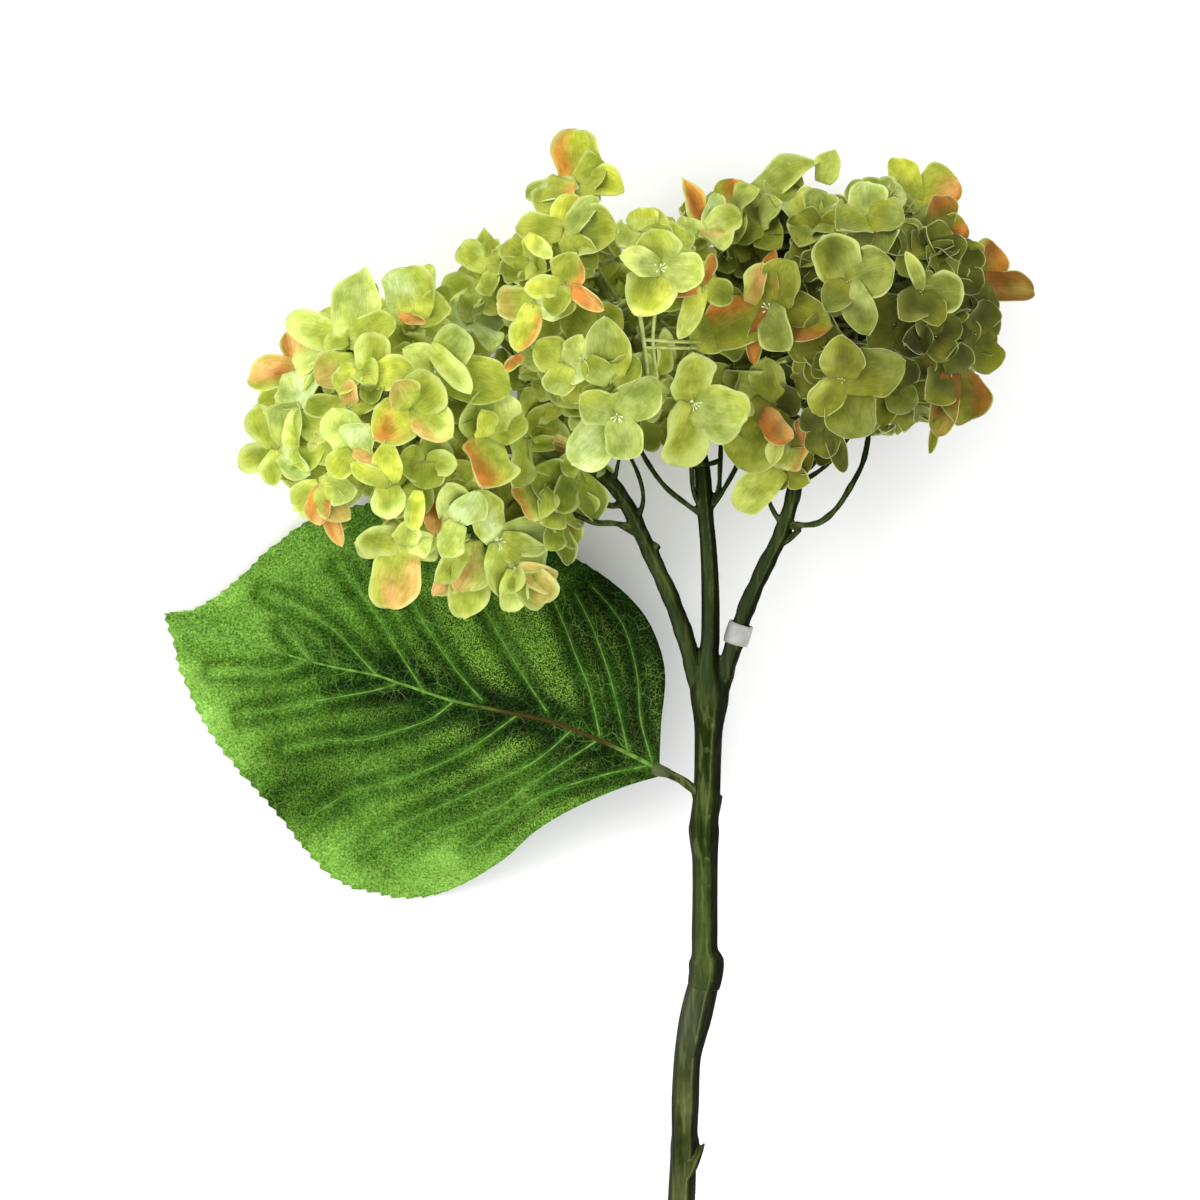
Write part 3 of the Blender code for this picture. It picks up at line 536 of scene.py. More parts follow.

# Each floret: cluster, middle (u, v), lift, then its sepals: tip u, tip v,
# width, colour keys (base, tip, left edge, right edge), rim width, rise of the tip
# and, where it doesn't spring from the middle, its foot.
FLORETS = [
    ("left", -112.5, 232.5, 0, [(-115.5, 243.5, 5.5, "OO", 0.5, 2), (-126, 229.5, 9, "rPoP"),
                                (-110, 220.5, 13, "mm", 0.8, 2), (-104, 240, 9, "pptp")]),
    ("left", -98, 240, 1, [(-115.5, 245.5, 9, "lp", 1.1), (-93.5, 261.3, 12.5, "pggp", -0.7, 0),
                           (-90.5, 256, 6, "lo", 0.5, -3), (-84, 245, 9, "oo"),
                           (-105, 238, 5, "ll")]),
    ("left", -96, 234.5, 4, [(-108, 229, 10, "lt"), (-101, 226, 7, "bb", 0.5, 3),
                             (-90, 228, 7, "ol")]),
    ("left", -92, 231, 4, [(-91, 243, 9, "oopo", 1.3), (-79, 231, 9, "bo", 0.8, 2),
                           (-91.5, 222, 6, "kd", 0.4, -3)]),
    ("left", -98, 222, 2, [(-98, 230, 5, "PP", 0.5, 3), (-110, 222, 6, "od", 0.5, -3),
                           (-88, 226, 7, "od", 0.4, -3)]),
    ("left", -81, 222, 7, [(-91, 212.5, 12, "bOob", 0.8, 1), (-69, 213, 10, "oppP", 0.9, 2),
                           (-73, 230, 12, "oo", 1.6), (-86, 229, 9, "lt", 0.7, 3)]),
    ("left", -97, 209.5, 4, [(-103, 222, 10, "pp", 0.8, 1), (-92.5, 218, 10, "mm", 0.8, 2),
                             (-103.5, 202.5, 7.5, "lb", 1.0, 2), (-90, 207, 4, "PP", 0.5, -1)]),
    ("left", -117, 210, 0, [(-113, 223.5, 12.5, "lggl", 0.8, 5), (-124.5, 222.5, 8, "oo", 1.3),
                            (-128.5, 206, 7.5, "do", 1.7, 2), (-107, 203, 7.5, "mm", 0.8, 2),
                            (-118, 200, 7, "ll", 0.6, -2)]),
    ("left", -106, 200, 1, [(-113.5, 194, 8, "ll", 0.6, 0), (-105.5, 188.5, 7, "OO", 0.5, 3),
                            (-99.5, 183, 4.5, "OO", 0.5, 1), (-95.5, 199, 8, "lg", 0.7, 3),
                            (-97, 191, 8, "ot", 0.5, -1)]),
    ("left", -87, 200.5, 5, [(-88, 213, 7.5, "bbbb", 0.6, 3), (-87.5, 190.5, 8.5, "op", 1.7, 1),
                             (-98, 206.5, 5, "ob", 0.6, 0), (-80.5, 187.5, 5, "bb", 0.8, 3, (-79, 199))]),
    ("left", -77, 207, 1, [(-71, 213, 9, "dg", 0.4, -1), (-85, 206, 9, "do", 0.4, -1),
                           (-68, 206, 6.5, "lp", 1.4, 2), (-77, 199, 9, "dd", 0.4, -1)]),
    ("left", -83, 184, 2, [(-97, 186, 8.5, "ooop", 1.9, 3), (-88, 166.5, 12.5, "oPPl", 0.8, 0),
                           (-75, 186, 8, "pp", 0.8, 1), (-81, 192, 7, "ll", 0.6, 1)]),
    ("left", -68, 190, 5, [(-72, 202, 9, "gp", 1.3, 2), (-62, 199, 9, "mm", 0.7, 1),
                           (-73, 180.5, 8, "pp", 0.8, 2), (-75, 186, 5, "OO", 0.4, -2, (-77, 197))]),
    ("left", -65, 185, 2, [(-66.5, 170, 10.5, "tPpP", 0.7, 3), (-76, 174, 7.5, "ll", 0.8, -1),
                           (-75, 169, 8, "PP", 0.6, -3), (-66.5, 163, 11, "ol", 1.3, -5)]),
    ("left", -57, 185, 6, [(-63.5, 199, 9.5, "mgll", 0.7, 2), (-41.5, 188, 10.5, "gg", 0.6, 1),
                           (-43.5, 179, 9, "og", 1.0, -1), (-56.5, 170, 10, "ll", 0.8, 1)]),
    ("left", -52, 177, -1, [(-43.5, 168, 10, "dttd", 1.0, -2), (-55, 166, 8, "lp", 1.4, -2),
                            (-41, 174, 7, "tt", 0.8, -3)]),
    ("left", -60, 213, 8, [(-60.5, 227.5, 15, "op", 2.0, 1), (-61.5, 221.5, 6.5, "bb", 0.3, 4),
                           (-50, 219.5, 8, "oo", 0.6, 0), (-62.5, 198.5, 14, "oOlO", 1.1, 1)]),
    ("left", -49, 214, 9, [(-53, 199, 8.5, "lllp", 1.4, 2), (-40, 205, 12, "olPl", 0.9, 0),
                           (-48, 189.5, 12, "lllO", 0.8, 0, (-49, 203)), (-43, 221, 9, "ol", 0.6, 0)]),
    ("left", -48, 219, 4, [(-40, 231.5, 12, "bOOb", 0.8, 4), (-50, 228, 7, "bl", 0.6, 1),
                           (-38, 212, 6, "pp", 0.8, 0)]),
    ("left", -35, 204, -4, [(-40.5, 192.5, 8, "kd", 0.7, 0), (-29, 190.5, 8.5, "dk", 0.4, 0),
                            (-26, 203, 6, "kd", 0.4, -3), (-41, 208, 6, "dd", 0.4, -3)]),
    ("left", -41, 191, -8, [(-35, 184, 6.5, "rd", 0.4, 0), (-37.5, 178, 6, "dk", 0.4, 0),
                            (-44, 182, 7, "dd", 0.4, 0), (-47, 195, 6, "rr", 0.4, -2)]),
    ("left", -64, 245, 3, [(-73.5, 246, 10, "mp", 0.7, 0), (-58.5, 236, 8.5, "mp", 0.6, 3),
                            (-66, 253, 8, "gl", 0.8, 0), (-55, 247, 9, "gm", 0.4, 0)]),
    ("left", -74, 232, 4, [(-83, 238.5, 8, "lp", 0.8, 2), (-66, 243.5, 10, "og", 1.2, 1),
                           (-54, 226, 12, "oo", 0.4, -3), (-64.5, 225, 6, "lp", 1.8, 1, (-76, 239))]),
    ("left", -80, 245.5, 2, [(-84, 260.5, 13, "bmmo", 0.6, 3), (-75.5, 262, 5, "pp", 0.5, -1),
                             (-76.5, 243.5, 3.2, "OO", 0.3, 5, (-84.5, 247.5)), (-71, 250, 8, "ol", 0.6, -2)]),
    ("left", -70, 249, 0, [(-64, 258, 11, "lllp", 1.2, 3), (-59, 254, 6, "pp", 0.6, 1),
                            (-75, 254, 6, "od", 0.4, -2)]),
    ("centre", -58, 261, 0, [(-60.5, 272.5, 6, "do", -0.4, 1), (-56.5, 269, 6.5, "oo", 0.6, 2),
                             (-57, 252.5, 7.5, "lo", 0.8, 2), (-66, 267, 7.5, "ll", 0.7, 1),
                             (-49, 263, 8, "ol", 0.5, 0)]),
    ("centre", -46, 251, 4, [(-57, 251, 8.5, "lt", 0.9, 2), (-33, 250, 8, "mo", 0.7, 2),
                             (-50, 236.5, 7.5, "bbOb", 0.9, 2), (-54, 232, 3.2, "rr", 0.4, 4, (-48.5, 236.5))]),
    ("centre", -47, 262, -2, [(-53, 269, 9, "lo", 0.6, 1), (-42, 270, 9, "lb", 0.5, -1),
                              (-54, 258, 7, "od", 0.4, -2), (-42, 258, 7, "lo", 0.4, -1)]),
    ("centre", -34, 283.5, 1, [(-34.0, 299, 12.3, "lbOl", 0.9, 2), (-43.5, 274.5, 10.5, "olOo", 0.8, 1, (-38, 286)),
                               (-25.5, 289, 10.5, "oo", 0.5, 1), (-20.5, 281, 10, "ob", 0.6, 1),
                               (-48, 278, 7, "mm", 0.5, -3)]),
    ("centre", -38, 270, 3, [(-35.5, 282, 9, "bbbO", 0.7, 3), (-27.5, 280.5, 6, "gg", 0.6, 2),
                             (-22.5, 271, 13, "go", 0.6, 1), (-28, 260, 7, "od", 0.4, 0),
                             (-51, 272, 8, "oo", 0.6, 0), (-40, 262, 4.5, "bp", 0.6, 3, (-48, 269))]),
    ("centre", -38, 256, 5, [(-34, 265.5, 9.5, "oloO", 0.6, 2), (-26.5, 249, 4.5, "OO", 0.5, 1),
                             (-49, 254.5, 6, "lb", 1.0, 2), (-41, 247, 7, "oo", 0.5, 0)]),
    ("centre", -11.5, 260.5, 8, [(-14, 272, 12, "gl", 1.0, 2), (-18, 247.5, 13, "obbo", 2.0, 1),
                                 (1, 258.5, 10, "gp", 0.9, 1), (-23.5, 264, 7, "gp", 0.8, 1)]),
    ("centre", -16, 271, -3, [(-24.0, 267, 9, "pp", 0.6, 1), (-9, 274.5, 8, "pl", 0.6, 1),
                              (-17, 277.5, 8, "pb", 0.6, 1), (-8, 266, 7, "od", 0.4, -2)]),
    ("centre", 0, 256, 2, [(-8, 253.5, 4, "Or", 0.4, 2), (-12, 249, 5, "oo", 0.4, 0),
                           (-6.5, 241, 6, "bp", 0.6, 2), (2.5, 265, 3.5, "rr", 0.3, 1),
                           (8, 252, 7, "od", 0.4, -2)]),
    ("centre", 1, 271, 2, [(-4.8, 286.5, 6.5, "rOpO", -0.5, 1), (4.5, 281.5, 5, "mm", 0.4, 1),
                           (10.5, 276, 7.5, "pl", 1.0, 1), (-9, 271.5, 6, "pp", 0.5, 0),
                           (5, 264.5, 8.5, "tp", 1.0, 2)]),
    ("centre", -2.5, 223.5, 10, [(-3, 238.5, 11.5, "ollo", 2.2, 2), (-10, 244.5, 5, "pp", 1.5, 3, (-10.5, 226)),
                                 (-9, 206, 12.5, "oool", 3.0, 1), (12.5, 219, 14, "gplg", 1.2, 1)]),
    ("centre", -23, 220, 7, [(-34, 226.5, 10.5, "glgl", 0.8, 1), (-12, 230.5, 11.5, "gg", 0.6, 0),
                             (-36, 207.5, 11.5, "gm", 1.0, 1), (-20, 209, 9.5, "gg", 0.5, 0)]),
    ("centre", -37, 234, 2, [(-46, 240.5, 9.5, "lo", 0.6, 1), (-32, 243, 6, "gp", 0.6, 0),
                             (-31, 231, 7, "gm", 0.5, -1), (-40, 226, 8, "lg", 0.5, -1)]),
    ("centre", -25, 229.5, 1, [(-27, 247.5, 11.5, "lggo", 0.7, 4), (-17, 236, 8, "dd", 0.4, -3),
                               (-33, 236, 7, "go", 0.4, -1)]),
    ("centre", 9, 264, -2, [(15, 259, 8, "dk", 0.4, 0), (6, 270, 7, "dd", 0.4, 0),
                            (3, 260, 6, "kd", 0.4, -2), (14, 269, 7, "od", 0.5, 0)]),
    ("centre", 8, 234, -3, [(16, 240, 9, "do", 0.4, 0), (2, 241, 8, "kd", 0.4, -1),
                            (10, 226, 9, "do", 0.4, 0), (16, 231, 7, "dk", 0.4, -2)]),
    ("right", 9, 276, 2, [(9.5, 286, 9.5, "lOlb", 0.6, 2), (17, 283, 8, "gp", 0.6, 1),
                           (1, 276, 7, "pg", 0.5, 0), (12, 267, 9, "ll", 0.6, 0)]),
    ("right", 20, 249.5, 9, [(18, 262.5, 6, "PPpP", 0.5, 3, (14, 251)), (21, 266, 5.5, "oO", 0.5, 0),
                             (28, 263, 12, "ol", 0.8, 2), (39, 244.5, 12.5, "bblO", 0.9, 1),
                             (3, 240.5, 14, "oooO", 1.2, 1), (26, 237.5, 10, "gg", 0.7, 2),
                             (17, 233.5, 5, "rr", 0.4, -2)]),
    ("right", 22, 223.5, 7, [(6.5, 231.5, 14, "pppl", 1.4, 3), (31, 236, 13, "lpgp", 1.4, 1),
                             (19, 236.5, 11, "lp", 1.0, 0), (30, 226.5, 9, "kd", 0.3, -1),
                             (27.5, 214, 8.5, "OPPO", 0.7, 4, (18, 221)), (12.5, 206, 17, "olpl", 1.2, 1),
                             (26.0, 205.5, 11, "gpOp", 1.2, 4, (29.5, 219)),
                             (30.5, 221.5, 3.2, "OO", 0.4, 4, (31, 213))]),
    ("right", 40, 230, 5, [(45, 213.5, 13.5, "og", 0.4, 1), (31.5, 220.5, 8.5, "ooop", 1.0, 2),
                           (40.5, 243, 11.5, "oopo", 0.9, 2), (58, 235.5, 13, "og", 0.4, 1)]),
    ("right", 42, 256.5, 7, [(34.5, 270, 12.5, "gdog", 1.0, 2), (55, 262, 13.5, "gpgg", 0.6, 1),
                             (35, 248.5, 8.5, "og", 0.6, 1), (47.5, 241.5, 8.5, "mg", 0.6, 1)]),
    ("right", 47, 275, 4, [(49, 263, 13.5, "gg", 0.6, 1), (38, 270, 11, "lg", 0.6, 2),
                           (57.5, 274, 10, "og", 0.5, 0), (47, 284.5, 10, "gm", 0.6, 1)]),
    ("right", 28, 282, 1, [(34.6, 291.6, 9.5, "glgp", -0.6, 0, (13.5, 279.5)), (38.6, 293.5, 7.5, "pppp", -0.4, -1, (34.5, 284.5)),
                           (21, 286.5, 8, "lp", 0.6, 1), (22, 276, 11, "lg", 0.6, 0)]),
    ("right", 33, 274, 3, [(26, 280, 9.5, "llgp", 0.8, -1), (36, 281.5, 10, "gg", 0.6, -1),
                           (28, 266, 10, "gl", 0.5, 0), (40, 271, 10, "gl", 0.5, 0)]),
    ("right", 17, 273, 3, [(13, 281, 8.5, "lppl", 0.7, 1), (24, 279.5, 8.5, "pppp", 0.7, 1),
                           (24, 266, 9, "ol", 0.4, -1), (11, 267, 9, "lo", 0.4, -1)]),
    ("right", 50, 279, 0, [(40, 281.5, 9, "gg", 0.5, 0), (58, 280, 8.5, "gm", 0.6, 0),
                            (50, 285, 9, "gg", 0.5, 0), (52, 270, 8, "od", 0.4, 0)]),
    ("right", 60, 278.5, 1, [(54, 292, 8.5, "lb", 0.6, 2), (72, 284.5, 13, "bPlO", 1.1, 3),
                             (62, 268, 11, "gd", 0.5, 0), (52, 277, 8, "go", 0.5, 0)]),
    ("right", 66, 270, -2, [(75, 272.5, 8, "rr", 0.6, 1), (59, 264, 9, "dd", 0.4, 0),
                            (67, 280, 8, "dr", 0.5, 0), (72, 262, 8, "kd", 0.4, 0)]),
    ("right", 78, 257, 1, [(82.0, 268.5, 11.5, "orlO", 0.8, 1), (72, 268, 9, "do", 0.6, 1),
                           (93, 253.8, 8, "rtrr", 0.7, 1), (77, 245, 9.5, "dk", 0.4, -1)]),
    ("right", 62, 254, 5, [(74, 253.5, 11, "gg", 1.0, 2), (57.5, 265.5, 4, "gp", 0.6, 2),
                           (55, 246, 9, "do", 0.5, 0), (66, 244, 8, "do", 0.5, 0)]),
    ("right", 76, 243, 0, [(83.5, 242, 11, "dd", 0.5, 1), (80, 231, 10, "do", 0.5, 1),
                           (69, 248, 8, "kd", 0.4, 0), (80, 252, 8, "dk", 0.4, 0)]),
    ("right", 70, 232, 3, [(63, 224.5, 11, "do", 0.5, 1), (75.5, 218.5, 13, "doro", 0.7, 0),
                           (65, 214, 8, "rt", 0.6, 0), (63, 209.5, 2.6, "oo", 0.4, 1, (66, 219)),
                           (72, 241, 8, "dk", 0.4, 0)]),
    ("right", 54, 229, -5, [(58.5, 220.5, 8.5, "og", 0.6, 2), (50, 217, 6, "do", 0.5, 1),
                            (47, 233, 8, "dd", 0.4, 0), (60, 236, 8, "dk", 0.4, -1)]),
    ("right", 36, 218, -6, [(33.5, 208.5, 9, "dd", 0.5, 1), (41, 205, 5, "dk", 0.4, 1),
                            (44, 221, 7, "dk", 0.4, -1), (29, 222, 8, "kd", 0.4, -2)]),
    ("right", 65, 242, -3, [(56, 240, 8, "dk", 0.4, 0), (69, 235, 8, "dd", 0.4, 0),
                            (72, 247, 8, "kd", 0.4, 0), (61, 250, 8, "do", 0.4, 0)]),
    ("right", 24, 207, -3, [(20.5, 199.5, 7, "lg", 0.6, 2), (31, 201, 7, "ol", 0.6, 1),
                            (32, 210, 8, "do", 0.5, 0), (10.5, 195, 10, "lppp", 1.2, 1, (23, 206))]),
    # florets low between the clusters, seen only in the gaps, in olive and dark colours that paint the shade there
    ("centre", 8, 256, -9, [(16, 262, 9, "do", 0.4, 0), (1, 262, 9, "od", 0.4, 0), (2, 248, 9, "do", 0.4, 0), (15, 248, 9, "dk", 0.4, 0)]),
    ("centre", 15, 232, -10, [(22, 238, 10, "do", 0.4, 0), (8, 240, 9, "dd", 0.4, 0), (8, 224, 10, "od", 0.4, 0), (22, 225, 10, "do", 0.4, 0)]),
    ("right", 22, 276, -7, [(29, 283, 11, "go", 0.5, 0), (15, 282, 11, "ol", 0.5, 0), (15, 269, 11, "go", 0.4, 0), (30, 270, 11, "do", 0.4, 0)]),
    ("centre", 0, 274, -6, [(8, 279, 9, "og", 0.5, 0), (-7, 277, 8, "gp", 0.5, 0), (-6, 267, 9, "lo", 0.4, 0), (9, 268, 9, "ol", 0.4, 0)]),
    ("centre", -12, 218, -9, [(-4, 224, 9, "dd", 0.4, 0), (-20, 225, 9, "do", 0.4, 0), (-18, 212, 8, "dk", 0.4, 0), (-5, 213, 8, "dk", 0.4, 0)]),
    ("left", -55, 194, -7, [(-47, 200, 10, "do", 0.4, 0), (-62, 202, 10, "od", 0.4, 0), (-62, 187, 10, "do", 0.4, 0), (-48, 186, 9, "dd", 0.4, 0)]),
    ("left", -42, 206, -9, [(-35, 212, 9, "dd", 0.4, 0), (-49, 213, 9, "do", 0.4, 0), (-49, 199, 9, "dd", 0.4, 0), (-35, 199, 8, "dk", 0.4, 0)]),
    ("left", -83, 200, -9, [(-76, 207, 10, "od", 0.4, 0), (-91, 207, 10, "lo", 0.4, 0), (-91, 193, 10, "od", 0.4, 0), (-76, 193, 10, "od", 0.4, 0)]),
    ("right", 32, 214, -9, [(39, 220, 9, "dd", 0.4, 0), (25, 221, 9, "dk", 0.4, 0), (26, 208, 8, "dd", 0.4, 0), (39, 209, 8, "dk", 0.4, 0)]),
    ("centre", -58, 256, -5, [(-50, 263, 11, "ol", 0.5, 0), (-65.5, 262, 10, "lo", 0.5, 0), (-65, 250, 11, "ol", 0.4, 0), (-51, 250, 11, "ol", 0.4, 0)]),
    ("right", 34, 268, -9, [(42, 275, 9, "do", 0.4, 0), (27, 275, 9, "dd", 0.4, 0), (27, 261, 9, "do", 0.4, 0), (42, 261, 9, "dk", 0.4, 0)]),
    ("right", 70, 260, -9, [(77, 267, 9, "dk", 0.4, 0), (63, 267, 9, "dd", 0.4, 0), (63, 253, 9, "dk", 0.4, 0), (77, 253, 9, "dk", 0.4, 0)]),
    ("centre", -30, 243, -9, [(-22, 250, 10, "do", 0.4, 0), (-38, 250, 10, "od", 0.4, 0), (-38, 236, 10, "od", 0.4, 0), (-22, 236, 10, "dk", 0.4, 0)]),
    ("left", -95, 218, -9, [(-87, 226, 10, "od", 0.4, 0), (-103, 226, 10, "lo", 0.4, 0), (-103, 210, 10, "lo", 0.4, 0), (-87, 211, 10, "od", 0.4, 0)]),
    ("left", -72, 225, -9, [(-64, 233, 10, "od", 0.4, 0), (-80, 233, 10, "lo", 0.4, 0), (-80, 217, 10, "od", 0.4, 0), (-64, 218, 10, "do", 0.4, 0)]),
    ("left", -50, 236, -6, [(-42, 244, 12, "ol", 0.4, 0), (-58, 243, 12, "lo", 0.4, 0), (-58, 228, 12, "ol", 0.4, 0), (-42, 228, 12, "lo", 0.4, 0)]),
    ("left", -44, 220, -7, [(-36, 228, 12, "ol", 0.4, 0), (-52, 227, 12, "lo", 0.4, 0), (-51, 211, 12, "ol", 0.4, 0), (-36, 212, 12, "do", 0.4, 0)]),
    ("left", -40, 198, -6, [(-32, 204, 11, "do", 0.4, 0), (-48, 205, 12, "od", 0.4, 0), (-47, 190, 11, "do", 0.4, 0), (-33, 191, 10, "dd", 0.4, 0)]),
    ("centre", 4, 246, -7, [(12, 252, 12, "do", 0.4, 0), (-4, 253, 11, "od", 0.4, 0), (-3, 239, 11, "do", 0.4, 0), (12, 238, 12, "do", 0.4, 0)]),
    ("centre", 6, 226, -6, [(14, 231, 11, "do", 0.4, 0), (-1, 233, 11, "ol", 0.4, 0), (1, 217, 10, "do", 0.4, 0), (14, 216, 11, "od", 0.4, 0)]),
    ("right", 14, 262, -7, [(22, 269, 12, "ol", 0.4, 0), (6, 269, 12, "lo", 0.4, 0), (7, 254, 12, "do", 0.4, 0), (22, 255, 12, "do", 0.4, 0)]),
    ("right", 24, 270, -10, [(32, 276, 11, "oo", 0.4, 0), (17, 277, 11, "do", 0.4, 0), (17, 262, 11, "od", 0.4, 0), (32, 262, 11, "do", 0.4, 0)]),
    ("right", 55, 245, -9, [(63, 253, 10, "dk", 0.4, 0), (47, 253, 10, "dd", 0.4, 0), (47, 237, 10, "do", 0.4, 0), (63, 237, 10, "dk", 0.4, 0)]),
]

# florets whose stamens stand out
TUFTED = [(-11.5, 260.5), (-2.5, 223.5), (20, 249.5), (-23, 220), (-74, 232), (-57, 185)]

UNDER = {"left": (17, 203.0), "centre": (17, 214.0), "right": (17, 214.0)}


def shell(cluster, u, v, lift, under=False):
    c, (a, b, h) = SHELLS[cluster]
    x, y = (u - c[0]) / a, (v - c[1]) / b
    q = math.hypot(x, y)
    side = -1.0 if under else 1.0
    k = math.sqrt(max(0.0, 1.0 - min(q, 1.0) ** 2))
    w = c[2] + side * k * h
    n = unit([x / a, y / b, side * k / h])
    n = unit(n + np.array([0, 0, 0.55 * side]))
    p = np.array([u, v, w]) + n * lift * (1.0 if under else 0.75)
    return p, n


NT, NX = 15, 13
TAU = np.linspace(0, 1, NT)
T_ = (1 - (1 - TAU) ** 1.5)[:, None]
X_ = np.sin(np.linspace(-1, 1, NX) * math.pi / 2)[None, :]
GRID = [(i * NX + j, (i + 1) * NX + j, (i + 1) * NX + j + 1, i * NX + j + 1)
        for i in range(NT - 1) for j in range(NX - 1)]
N_TOP = NT * NX
PETAL_FACES = GRID + [tuple(N_TOP + k for k in reversed(f)) for f in GRID]
for i in range(NT - 1):
    a, b = i * NX, (i + 1) * NX
    PETAL_FACES.append((a, N_TOP + a, N_TOP + b, b))
    a, b = i * NX + NX - 1, (i + 1) * NX + NX - 1
    PETAL_FACES.append((a, b, N_TOP + b, N_TOP + a))
for j in range(NX - 1):
    PETAL_FACES.append((j, j + 1, N_TOP + j + 1, N_TOP + j))
    a = (NT - 1) * NX + j
    PETAL_FACES.append((a, N_TOP + a, N_TOP + a + 1, a + 1))


# painted light per cluster: the left and centre painted lighter, the right painted darker as in shade
CLUSTER_PAINTED_LIGHT = {"left": np.array([1.08, 1.05, 1.00]), "centre": np.array([1.05, 1.01, 0.95]),
         "right": np.array([0.95, 0.91, 0.80])}


def petal(mesh, foot, tip, n, width, colour_keys, rim, rng, cluster, shade=1.0):
    """One sepal: a cupped, rimmed blade from foot to tip that faces n."""
    tip_u, tip_v = tip[0], tip[1]
    a = tip - foot
    length = np.linalg.norm(a)
    d = a / length
    s = unit(np.cross(n, d))
    m = np.cross(d, s)
    q = np.where(T_ < 0.52, (0.52 - T_) / 0.52, (T_ - 0.52) / 0.48)
    waist = 0.42 if width > 6.5 else 0.55
    blunt = rng.choice([1.9, 2.1, 2.4]) if rim > 0 else 1.35
    rim = abs(rim)
    end = np.clip(1 - q ** blunt, 0, 1) ** (0.5 if blunt > 1.5 else 0.85)
    prof = np.where(T_ < 0.52, 1 - waist * q ** 1.9, end)
    prof = np.maximum(prof, 0.06)
    hw = 0.5 * width * prof
    ph = rng.uniform(0, 6.28, 4)
    wob = 1 + (0.045 * np.sin(7 * T_ + ph[0]) + 0.025 * np.sin(15 * T_ + ph[1])) * np.sign(X_ + 1e-9)
    bow = rng.uniform(-0.03, 0.10)
    curl = rng.uniform(-0.06, 0.18)
    cup = rng.uniform(0.35, 0.85)
    along = length * (T_ - 0.02 * X_ ** 2 * T_ ** 2)
    across = hw * X_ * wob
    h = (length * (bow * np.sin(math.pi * T_) + curl * T_ ** 3)
         + hw * cup * np.abs(X_) ** 2.6 * smooth(0.22, 0.72, T_)
         + 0.06 * width * np.abs(X_) ** 2.2 * np.sin(8.0 * T_ + 1.5 * X_ + ph[2]) * smooth(0.1, 0.5, T_)
         - 0.035 * width * np.exp(-(X_ / 0.2) ** 2) * np.sin(math.pi * T_)
         + 0.03 * width * np.sin(2.3 * X_ + 4 * T_ + ph[3]))
    h = h - h[0].mean()
    pts = (foot + d * along[..., None] + s * across[..., None] + m * h[..., None])
    half = 0.13 + 0.05 * (1 - T_) + 0 * X_
    top = (pts + m * half[..., None]).reshape(-1, 3)
    low = (pts - m * half[..., None]).reshape(-1, 3)

    colour_key = {"OO": "OPrO", "rr": "rOor", "PP": "PPtP", "bb": "bbbl", "dd": "dodd",
           "mm": "mmmg", "ll": "lllp"}.get(colour_keys, colour_keys)
    # the right cluster takes the painted-shaded colours, the others the painted-sunlit ones
    SEPAL_COLOURS_AND_LIGHT = INK_AND_PAINTED_LIGHT if cluster == "right" else PAINTED_SUNLIT_INK
    cb, ct = np.array(SEPAL_COLOURS_AND_LIGHT[colour_key[0]]), np.array(SEPAL_COLOURS_AND_LIGHT[colour_key[1]])
    g = smooth(0.25, 0.80, T_ + 0.10 * np.sin(3 * X_ + ph[0]))[..., None]
    col = cb * (1 - g) + ct * g + 0 * X_[..., None]
    if len(colour_key) > 2:
        cl, cr = np.array(SEPAL_COLOURS_AND_LIGHT[colour_key[2]]), np.array(SEPAL_COLOURS_AND_LIGHT[colour_key[3]])
        fade = smooth(0.0, 0.35, T_)
        wl = (smooth(0.05, 0.85, X_ + 0.12 * np.sin(6 * T_ + ph[1])) * fade)[..., None]
        wr = (smooth(0.05, 0.85, -X_ + 0.12 * np.sin(6 * T_ + ph[2])) * fade)[..., None]
        col = col * (1 - wl) + cl * wl
        col = col * (1 - wr) + cr * wr
    dist = np.minimum(hw * (1 - np.abs(X_)), length * (1 - T_)) + np.maximum(0, 0.35 - T_) * 8
    # pale dust round the eye; painted shade darker in the middle of the cup; paler towards the rim, a painted
    # highlight on the raised edge
    painted_dish_shade = (0.12 * np.exp(-(X_ / 0.5) ** 2) * np.exp(-((T_ - 0.55) / 0.28) ** 2))[..., None]
    col = col * (1 - painted_dish_shade)
    # sepals of the right cluster in painted shade keep less pale dust and a thinner pale rim
    in_painted_shade = cluster == "right" and colour_key[0] in "dkrolmbO"
    # pale dust round the eye, and a painted highlight along the rim
    dust = (0.42 * smooth(0.34, 0.0, T_ + 0 * X_) + 0.24 * np.exp(-np.maximum(dist, 0) / 1.1)
            * smooth(0.2, 0.5, T_))[..., None] * (0.35 if in_painted_shade else 1.0)
    col = col * (1 - dust) + np.array([0.80, 0.85, 0.53]) * dust
    cluster_light = CLUSTER_PAINTED_LIGHT[cluster]
    # painted shade in the right cluster, growing towards its far right and the stem side, a little browner
    if cluster == "right":
        painted_right_shade = smooth(278.0, 246.0, tip_v) * smooth(-5.0, 45.0, tip_u)
        cluster_light = cluster_light * (1 - 0.17 * painted_right_shade) * np.array([1.0, 1.0 - 0.02 * painted_right_shade, 1.0 - 0.12 * painted_right_shade])
    col = lin(np.clip(col * cluster_light * shade, 0, 1)).reshape(-1, 3)
    edge = (dist / max(rim * (0.3 if in_painted_shade else 1.0), 0.15)).reshape(-1)
    uv = np.stack([X_ * width * 0.1 + 0 * T_ + ph[0], T_ * length * 0.1 + 0 * X_ + ph[1]], -1).reshape(-1, 2)
    mesh.add(np.vstack([top, low]), PETAL_FACES, 0, np.vstack([col, col * 0.96]),
             np.concatenate([edge, edge]), np.vstack([uv, uv]))


def rod(mesh, path, radii, mat, sides=6):
    v, f = tube_arrays(path, radii, sides)
    mesh.add(v, f, mat)


